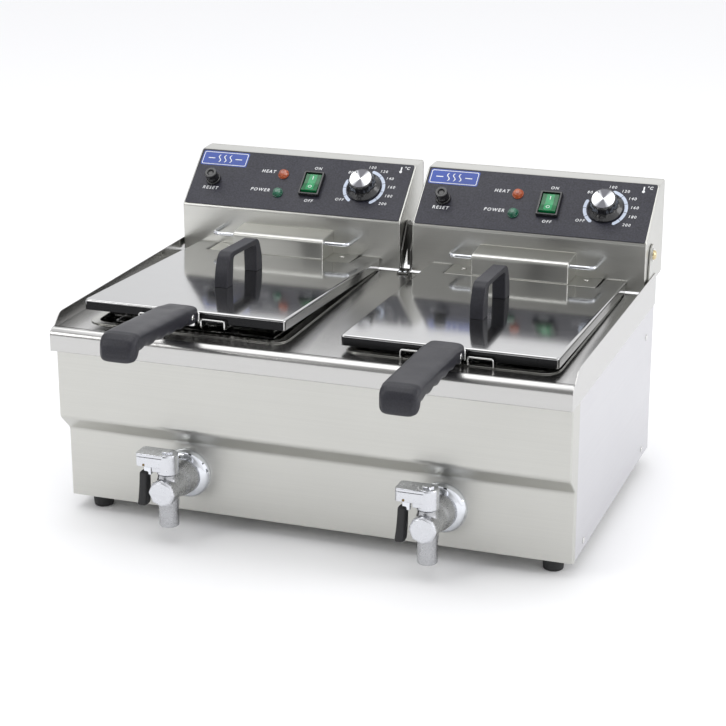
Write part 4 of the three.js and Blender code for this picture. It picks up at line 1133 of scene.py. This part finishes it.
class FRYER_OT_panels(bpy.types.Operator):
    """Printed film, badge, legends, dial scale, knob, rocker switch, lamps and reset button"""

    bl_idname = "fryer.panels"
    bl_label = "Control panels"

    def execute(self, context):
        for side, v in SIDES.items():
            self.film(side, v["sign"])
            self.print_on(side, v["sign"])
            self.knob(side, v["sign"])
            self.switch(side, v["sign"])
            self.lamps(side, v["sign"])
            self.reset(side, v["sign"])
        return {"FINISHED"}

    def film(self, side, sign):
        """A thin sheet with eased corners over nearly the whole slope."""
        sheet = slab(box_loop(-132.6, 132.6, 0.8, 78.8, 2.2), -0.9, 0, 0.15, 3)
        make(f"panel_film_{side}", [on_panel(sheet, 0, 0, sign)], MATERIALS["film"], f"head_{side}",
             [f"control_panel_{side}"])

    def print_on(self, side, sign):
        """Legends and the dial's scale, a hair above the film."""
        words = [("RESET", 5.9, -107, 24), ("HEAT", 5.9, -41.2, 53.6), ("POWER", 5.9, -44.5, 27.2),
                 ("ON", 5.2, 18.2, 63.1), ("OFF", 5.2, 18.3, 17.4)]
        numbers = [("80", 58.9, 61.5), ("100", 83.2, 70.6), ("120", 98.4, 66.4), ("140", 107.8, 57.3),
                   ("160", 112.4, 45.6), ("180", 112.2, 33.2), ("200", 107.8, 22.0), ("OFF", 55.2, 22.8)]
        parts = [lettering(t, size, x, s, sign, 0.18, 0.07) for t, size, x, s in words]
        parts += [lettering(t, 5.1, x, s, sign, 0.15, 0.05) for t, x, s in numbers]
        parts.append(lettering("°C", 5.2, 124.6, 73.4, sign, 0.2, 0.1))
        stem = slab(box_loop(117.4, 119, 68.6, 74.8, 0.7), 0.02, 0.06)
        bulb = moved(spun([[0, 0.02], [1.7, 0.02], [1.7, 0.06], [0, 0.06]], "z", 20), 118.2, 68)
        parts += [on_panel(p, 0, 0, sign) for p in (stem, bulb)]
        make(f"panel_legends_{side}", parts, MATERIALS["white"], f"head_{side}", ())
        bands = [arc_band(*DIAL_AT, DIAL_BAND, 3.8, start, end, sign) for start, end in ((156, 238), (-61, 79))]
        make(f"dial_scale_{side}", bands, MATERIALS["pale"], f"head_{side}", ())
        ticks = [arc_band(*DIAL_AT, DIAL_BAND, 4.0, a - 0.6, a + 0.6, sign, 0.09, 0.05, 0)
                 for a in (184, 212, -37, -9, 19, 47)]
        make(f"dial_ticks_{side}", ticks, MATERIALS["film"], f"head_{side}", ())
        self.badge(side, sign)

    def badge(self, side, sign):
        """A plain blue label with a pale border and three rising-heat waves, each a sine line."""
        plate = slab(box_loop(-29.3, 29.3, -10.2, 10.2, 3.0), 0.02, 0.1)
        edge = slab(box_loop(-28.0, 28.0, -8.9, 8.9, 2.2), 0.1, 0.12)
        face = slab(box_loop(-27.2, 27.2, -8.1, 8.1, 1.7), 0.12, 0.15)
        waves = []
        u = np.linspace(0, 1, 25)
        for x in (-7, 0, 7):
            line = np.column_stack([x + 1.5 * np.sin(u * 2 * math.pi), -5.2 + 10.4 * u])
            side_step = np.column_stack([np.full(25, 0.65), np.zeros(25)])
            loop = np.vstack([line + side_step, (line - side_step)[::-1]])
            waves.append(slab(loop, 0.15, 0.19))
        bars = [slab(box_loop(x0, x0 + 8.5, -0.6, 0.6, 0.5), 0.15, 0.19) for x0 in (-21.5, 13)]
        spots = [(plate, 0), (edge, 1), (face, 0)] + [(w, 1) for w in waves + bars]
        parts = [(*on_panel(p, *BADGE_AT, sign), k) for p, k in spots]
        make(f"panel_badge_{side}", parts, [MATERIALS["blue"], MATERIALS["white"]], f"head_{side}", ())

    def knob(self, side, sign):
        """A turned skirt and cap, whose grip is fluted by a squared cosine of the angle, a raised pointer rib on
        the skirt, a spun silver top and a dark mark on it."""
        lower = round_profile(
            [[0, -10], [3.5, -10], [3.5, 0.9], [20, 0.9], [20, 2.5], [17.0, 5.4], [15.0, 8.0], [14.7, 16.8],
             [13.9, 18.1], [0, 18.1]], [0, 0, 0, 0.3, 0.7, 1.5, 1.6, 0.6, 0.5, 0], 5)
        v, f = spun(lower, "z", 96)
        around, grip = np.arctan2(v[:, 1], v[:, 0]), np.clip((v[:, 2] - 5.6) / 2.4, 0, 1)
        flute = 1 - 0.055 * grip * (0.5 + 0.5 * np.cos(around * 12)) ** 2
        body = (np.column_stack([v[:, 0] * flute, v[:, 1] * flute, v[:, 2]]), f)
        rib = turned(slab(box_loop(13.5, 19.4, -1.0, 1.0, 0.8), 2.2, 6.2, 0.5), POINTER)
        parts = [on_panel(p, *DIAL_AT, sign) for p in [body, rib]]
        make(f"dial_knob_{side}", parts, MATERIALS["black"], f"thermostat_{side}", [f"thermostat_knob_{side}"],
             crease=30)
        top = spun(round_profile([[0, 17.9], [12.9, 17.9], [12.9, 18.5], [12.4, 18.7], [0, 18.5]],
                                 [0, 0, 0.2, 0.3, 0], 3), "z", 72)
        placed = on_panel(top, *DIAL_AT, sign)
        centre = (placed[0].mean(0) - [0, BACK, 0]) / 1000
        # The cap's bow-tie sheen is a painted highlight in its base colour.
        silver = spun_metal_painted_sheen(f"spun silver painted sheen {side}", tuple(centre), (SLOPE, 0, 0), (0.86, 0.87, 0.89))
        make(f"dial_cap_{side}", [placed], silver, f"thermostat_{side}", ())
        mark = turned(slab(box_loop(9.2, 12.2, -0.45, 0.45, 0.3), 18.5, 18.8), POINTER)
        make(f"dial_mark_{side}", [on_panel(mark, *DIAL_AT, sign)], MATERIALS["dark"], f"thermostat_{side}", ())

    def switch(self, side, sign):
        """A frame lofted round its opening, and the see-saw rocker, whose top is two slopes meeting at a
        shallow ridge, tipped about its pivot."""
        rings = []
        for half_x, half_s, r, h in ((10.2, 14.1, 0.8, -10), (11, 14.9, 0.8, -10), (11, 14.9, 0.8, 0.3),
                                     (12.6, 16.2, 1.4, 0.3), (12.6, 16.2, 1.4, 4.1), (12.3, 15.9, 1.3, 4.9),
                                     (11.8, 15.4, 1.2, 5.2), (10.6, 14.4, 1.0, 5.2), (10.2, 14.1, 0.8, 4.8)):
            loop = box_loop(-half_x, half_x, -half_s, half_s, r, 5)
            rings.append(np.column_stack([loop, np.full(len(loop), h)]))
        rings.append(rings[0])
        frame_part = loft(rings, caps=(False, False))
        back = slab(box_loop(-10.6, 10.6, -14.5, 14.5, 0.6), -13, -10)
        parts = [on_panel(p, *SWITCH_AT, sign) for p in (frame_part, back)]
        make(f"rocker_frame_{side}", parts, MATERIALS["black"], f"head_{side}", [f"switch_bezel_{side}"])
        view = filleted([[-8, -4], [8, -4], [12.9, 3], [12.6, 8], [0, 6.2], [-12.6, 8], [-12.9, 3]],
                        [1, 1, 1.5, 1.0, 6, 1.0, 1.5], steps=6)
        rocker = along_x(view, -9.6, 9.6, 0.6)
        strip = along_x(filleted([[11.3, 7.6], [0, 6.25], [-11.3, 7.6], [-11.3, 8.0], [0, 6.65], [11.3, 8.0]],
                                 [0, 4, 0, 0, 4, 0]), -4.6, 4.6, 0.05, 2)

        v, f = slab(box_loop(-0.45, 0.45, 4.4, 9.0, 0.3), 0, 0.3)
        tick = (np.column_stack([v[:, 0], v[:, 1], v[:, 2] + 6.45 + np.abs(v[:, 1]) * ROCKER_FALL]), f)
        t = np.linspace(0, 2 * math.pi, 29)
        line = np.column_stack([1.9 * np.cos(t), -6.6 + 1.9 * np.sin(t)])
        height = 6.62 + np.abs(line[:, 1]) * ROCKER_FALL
        ring = tube(np.column_stack([line, height]), 0.36, 8)
        parts = []
        for part, kind in ((rocker, 0), (strip, 1), (tick, 2), (ring, 2)):
            seated = moved(tipped(part, ROCKER_TIP, 0, 0), 0, 0, -3)
            parts.append((*on_panel(seated, *SWITCH_AT, sign), kind))
        make(f"lit_rocker_{side}", parts, [MATERIALS["lit"], MATERIALS["bright_lit"], MATERIALS["white"]],
             f"rocker_{side}", [f"switch_rocker_{side}"])

    def lamps(self, side, sign):
        """Ten-sided domed lenses, flat on every facet, each in a turned ring of the same plastic."""
        for kind, s, finish in (("heat", 50.8, "amber"), ("power", 24.6, "green")):
            profile = round_profile(
                [[0, -9], [5.2, -9], [5.2, 0.4], [6.0, 0.4], [6.0, 2.4], [4.6, 4.5], [2.2, 5.2], [0, 5.2]],
                [0, 0, 0, 0.1, 0.15, 0.15, 0.15, 0], 2)
            dome = spun(profile, "z", 10)
            ring = spun(round_profile([[5.9, 0.15], [6.5, 0.15], [6.5, 1.3], [6.2, 1.7], [5.9, 1.7]],
                                      [0, 0.1, 0.3, 0.2, 0], 3), "z", 48)
            parts = [(*on_panel(p, LAMP_X, s, sign), k) for k, p in enumerate((dome, ring))]
            make(f"{kind}_lens_{side}", parts, [MATERIALS[finish], MATERIALS[finish]],
                 f"head_{side}", [f"{kind}_lamp_{side}"], crease=14)

    def reset(self, side, sign):
        """A cap with a dimpled top in a screwed collar with a knurled rim."""
        collar = round_profile([[4.2, 0.3], [8.9, 0.3], [8.9, 3.0], [8.3, 3.8], [7.6, 3.8], [7.6, 1.2], [4.2, 1.2]],
                               [0, 0.2, 0.5, 0.4, 0.2, 0, 0], 3)
        v, f = spun(collar, "z", 96)
        turn = np.arctan2(v[:, 1], v[:, 0])
        rim = np.hypot(v[:, 0], v[:, 1]) > 8.5
        knurl = 1 - 0.018 * rim * (0.5 + 0.5 * np.cos(turn * 32))
        v = np.column_stack([v[:, 0] * knurl, v[:, 1] * knurl, v[:, 2]])
        make(f"reset_ring_{side}", [on_panel((v, f), *RESET_AT, sign)], MATERIALS["black"], f"head_{side}",
             [f"reset_collar_{side}"])
        cap = round_profile([[0, -8], [3.5, -8], [3.5, 4], [7.2, 4], [7.2, 14.3], [3.9, 14.3], [3.2, 12.2], [0, 11.9]],
                            [0, 0, 0, 0.5, 1.3, 0.6, 0.8, 0], 5)
        button = on_panel(spun(cap, "z", sizes().sides), *RESET_AT, sign)
        make(f"reset_cap_{side}", [button], MATERIALS["black"], f"reset_{side}", [f"reset_button_{side}"])


# Taps ------------------------------------------------------------------------------------------

class FRYER_OT_taps(bpy.types.Operator):
    """Chromed drain taps: flange, body with spout, quarter-turn lever and hanging grip"""

    bl_idname = "fryer.taps"
    bl_label = "Drain taps"

    def execute(self, context):
        for side, v in SIDES.items():
            self.body(side, v["sign"])
            self.lever(side, v["sign"])
            self.grip(side, v["sign"])
        return {"FINISHED"}

    def forwards(self, part, sign):
        """A part turned about an axis that runs forwards from the lower front panel."""
        v = part[0] * [1, -1, 1]
        return v + [sign * TAP_X, STEP_Y, TAP_Z], part[1]

    def body(self, side, sign):
        """Turned flange and barrel with eased shoulders, a spout below, a stem boss above and an eight-sided cap
        on the barrel's end."""
        n = sizes().sides
        dome = round_profile([[12.9, 0.3], [27, 0.3], [27, 3.4], [24.0, 7.8], [17, 10.4], [12.9, 10.4]],
                             [0, 0.3, 1.2, 3.5, 3.0, 0], 7)
        make(f"tap_rosette_{side}", [self.forwards(spun(dome, "y", n), sign)], MATERIALS["chrome"], "body",
             [f"tap_flange_{side}"], crease=50)
        barrel = round_profile(
            [[0, 0.5], [12.5, 0.5], [12.5, 9.2], [19, 9.2], [19, 12], [17.6, 26], [14.4, 33], [14, 40], [14, 62.6],
             [12.2, 64.8], [8, 65.1], [7.2, 64.2], [0, 64.2]],
            [0, 0, 0, 0.8, 2, 6, 4, 3, 1.6, 1.2, 0.4, 0.4, 0], 6)
        spout = round_profile(
            [[0, 46], [7.6, 44], [7.6, 19.9], [8.2, 19.7], [10.0, 19.7], [10.4, 20.4], [10.4, 40], [11.6, 50],
             [11.6, 60], [0, 60]],
            [0, 0.5, 0.3, 0.2, 0.3, 0.4, 6, 6, 2, 0], 6)
        boss = round_profile([[0, 58], [11.6, 58], [11.6, 70], [10.2, 73.4], [10.2, 76.6], [9.6, 77], [0, 77]],
                             [0, 0, 3, 1.5, 0.4, 0.2, 0], 5)
        x = sign * TAP_X
        cap = round_profile([[0, 61], [14.6, 61], [14.6, 64.4], [12.6, 66.2], [0, 66.2]], [0, 0.2, 0.5, 0.5, 0], 3)
        parts = [self.forwards(spun(barrel, "y", n), sign), moved(spun(spout, "z", n), x, TAP_Y),
                 moved(spun(boss, "z", n), x, TAP_Y), (*self.forwards(spun(cap, "y", 8), sign), 1)]
        make(f"tap_barrel_{side}", parts, [MATERIALS["tap"], MATERIALS["satin"]], "body", [f"tap_body_{side}"],
             crease=40)

    def lever(self, side, sign):
        """A turned hub with a hexagon nut, an arm forked round the grip's link and closed on top, the saddle
        under it and the brass pin."""
        n = sizes().sides
        hub = round_profile([[0, 77.4], [10.6, 77.4], [11.4, 78.4], [11.4, 97.9], [10.4, 99.9], [0, 99.9]],
                            [0, 0.6, 0.8, 1.2, 1.0, 0], 5)
        nut = round_profile([[0, 99.2], [5.9, 99.2], [6.2, 99.6], [6.2, 101.4], [5.4, 102], [0, 102]],
                            [0, 0.1, 0.1, 0.2, 0.2, 0], 2)
        plan = filleted([[0, -11.3], [0, 11.3], [-29, 11.3], [-31.5, 8.8], [-31.5, 3], [-14, 3], [-14, -3],
                         [-31.5, -3], [-31.5, -8.8], [-29, -11.3]],
                        [0, 0, 2, 1.4, 1.2, 1.6, 1.6, 1.2, 1.4, 2], steps=5)
        arm = slab(plan, 85.2, 97, 0.8, 5)
        top = slab(filleted([[0, -11.3], [0, 11.3], [-29, 11.3], [-31.5, 8.8], [-31.5, -8.8], [-29, -11.3]],
                            [0, 0, 2, 1.6, 1.6, 2], steps=5), 94.6, 99.4, 0.9, 5)
        under = filleted([[0, -11], [0, 11], [-13, 11], [-14.2, 0], [-13, -11]], [0, 0, 1.5, 2, 1.5])
        saddle = slab(under, 80.5, 87, 1.0)
        pin = spun(round_profile([[0, -11.9], [1.1, -11.9], [1.4, -11.6], [1.4, 11.6], [1.1, 11.9], [0, 11.9]],
                                 [0, 0.1, 0.1, 0.1, 0.1, 0], 2), "y", 24)
        pin = moved(pin, -PIN_X, 0, PIN_Z)
        steel = (spun(hub, "z", n), spun(nut, "z", 6), arm, top, saddle)
        parts = [(*moved(p, sign * TAP_X, TAP_Y), 0) for p in steel]
        parts.append((*moved(pin, sign * TAP_X, TAP_Y), 1))
        make(f"tap_arm_{side}", parts, [MATERIALS["satin"], MATERIALS["brass"]], f"lever_{side}",
             [f"tap_lever_{side}"], crease=40)

    def grip(self, side, sign):
        """A flat link with a round eye, and a plastic handle whose section is a rounded box that widens and leans
        away towards its lower end."""
        eye = filleted([[-4, -14], [4, -14], [4, 0.8], [2.4, 4], [-2.4, 4], [-4, 0.8]], [0.8, 0.8, 2.2, 1.6, 1.6, 2.2])
        link = along_y(eye, -2.3, 2.3, 0.5)
        z = -LINK_END - GRIP_LENGTH * (0.5 - 0.5 * np.cos(np.linspace(0, math.pi, 30)))
        ends = np.clip(np.minimum(-LINK_END - z, z + LINK_END + GRIP_LENGTH) / 2.4, 0, 1)
        squeeze = np.sqrt(1 - (1 - ends) ** 2) * 0.22 + 0.78
        along = np.clip((-LINK_END - z) / GRIP_LENGTH, 0, 1)
        waist = 0.9 + 0.16 * along
        t = np.linspace(0, 2 * math.pi, 48, endpoint=False)
        cx = np.sign(np.cos(t)) * np.abs(np.cos(t)) ** 0.5
        cy = np.sign(np.sin(t)) * np.abs(np.sin(t)) ** 0.5
        scale = (squeeze * waist)[:, None]
        lean = -4.0 - 2.4 * along[:, None] ** 2
        heights = np.broadcast_to(z[:, None], (len(z), len(t)))
        rings = np.stack([lean + 5.0 * cx * scale, 6.5 * cy * scale, heights], -1)
        x = sign * TAP_X - PIN_X
        parts = [(*moved(link, x, TAP_Y, PIN_Z), 1), (*moved(loft(rings), x, TAP_Y, PIN_Z), 0)]
        make(f"tap_handle_{side}", parts, [MATERIALS["rubber"], MATERIALS["chrome"]], f"grip_{side}",
             [f"tap_grip_{side}"], crease=50)


# Panel and registration ------------------------------------------------------------------------

OPERATORS = (
    FRYER_OT_stage, FRYER_OT_casing, FRYER_OT_deck, FRYER_OT_tanks, FRYER_OT_baskets, FRYER_OT_lids,
    FRYER_OT_heads, FRYER_OT_panels, FRYER_OT_taps,
)


class FRYER_PT_sidebar(bpy.types.Panel):
    bl_label = "Twin Deep Fryer"
    bl_idname = "FRYER_PT_sidebar"
    bl_space_type = "VIEW_3D"
    bl_region_type = "UI"
    bl_category = "Fryer"

    def draw(self, context):
        layout = self.layout
        for group in (context.scene.fryer_sizes, context.scene.fryer_colours):
            box = layout.box()
            for name in group.__annotations__:
                box.prop(group, name)
        for operator in OPERATORS:
            layout.operator(operator.bl_idname)


CLASSES = (FryerSizes, FryerColours, *OPERATORS, FRYER_PT_sidebar)


def register():
    for cls in CLASSES:
        bpy.utils.register_class(cls)
    bpy.types.Scene.fryer_sizes = PointerProperty(type=FryerSizes)
    bpy.types.Scene.fryer_colours = PointerProperty(type=FryerColours)


def unregister():
    del bpy.types.Scene.fryer_colours
    del bpy.types.Scene.fryer_sizes
    for cls in reversed(CLASSES):
        bpy.utils.unregister_class(cls)


def main():
    """Builds the whole object."""
    register()
    for call in (bpy.ops.fryer.stage, bpy.ops.fryer.casing, bpy.ops.fryer.deck, bpy.ops.fryer.tanks,
                 bpy.ops.fryer.baskets, bpy.ops.fryer.lids, bpy.ops.fryer.heads, bpy.ops.fryer.panels,
                 bpy.ops.fryer.taps):
        call()


if __name__ == "__main__":
    main()
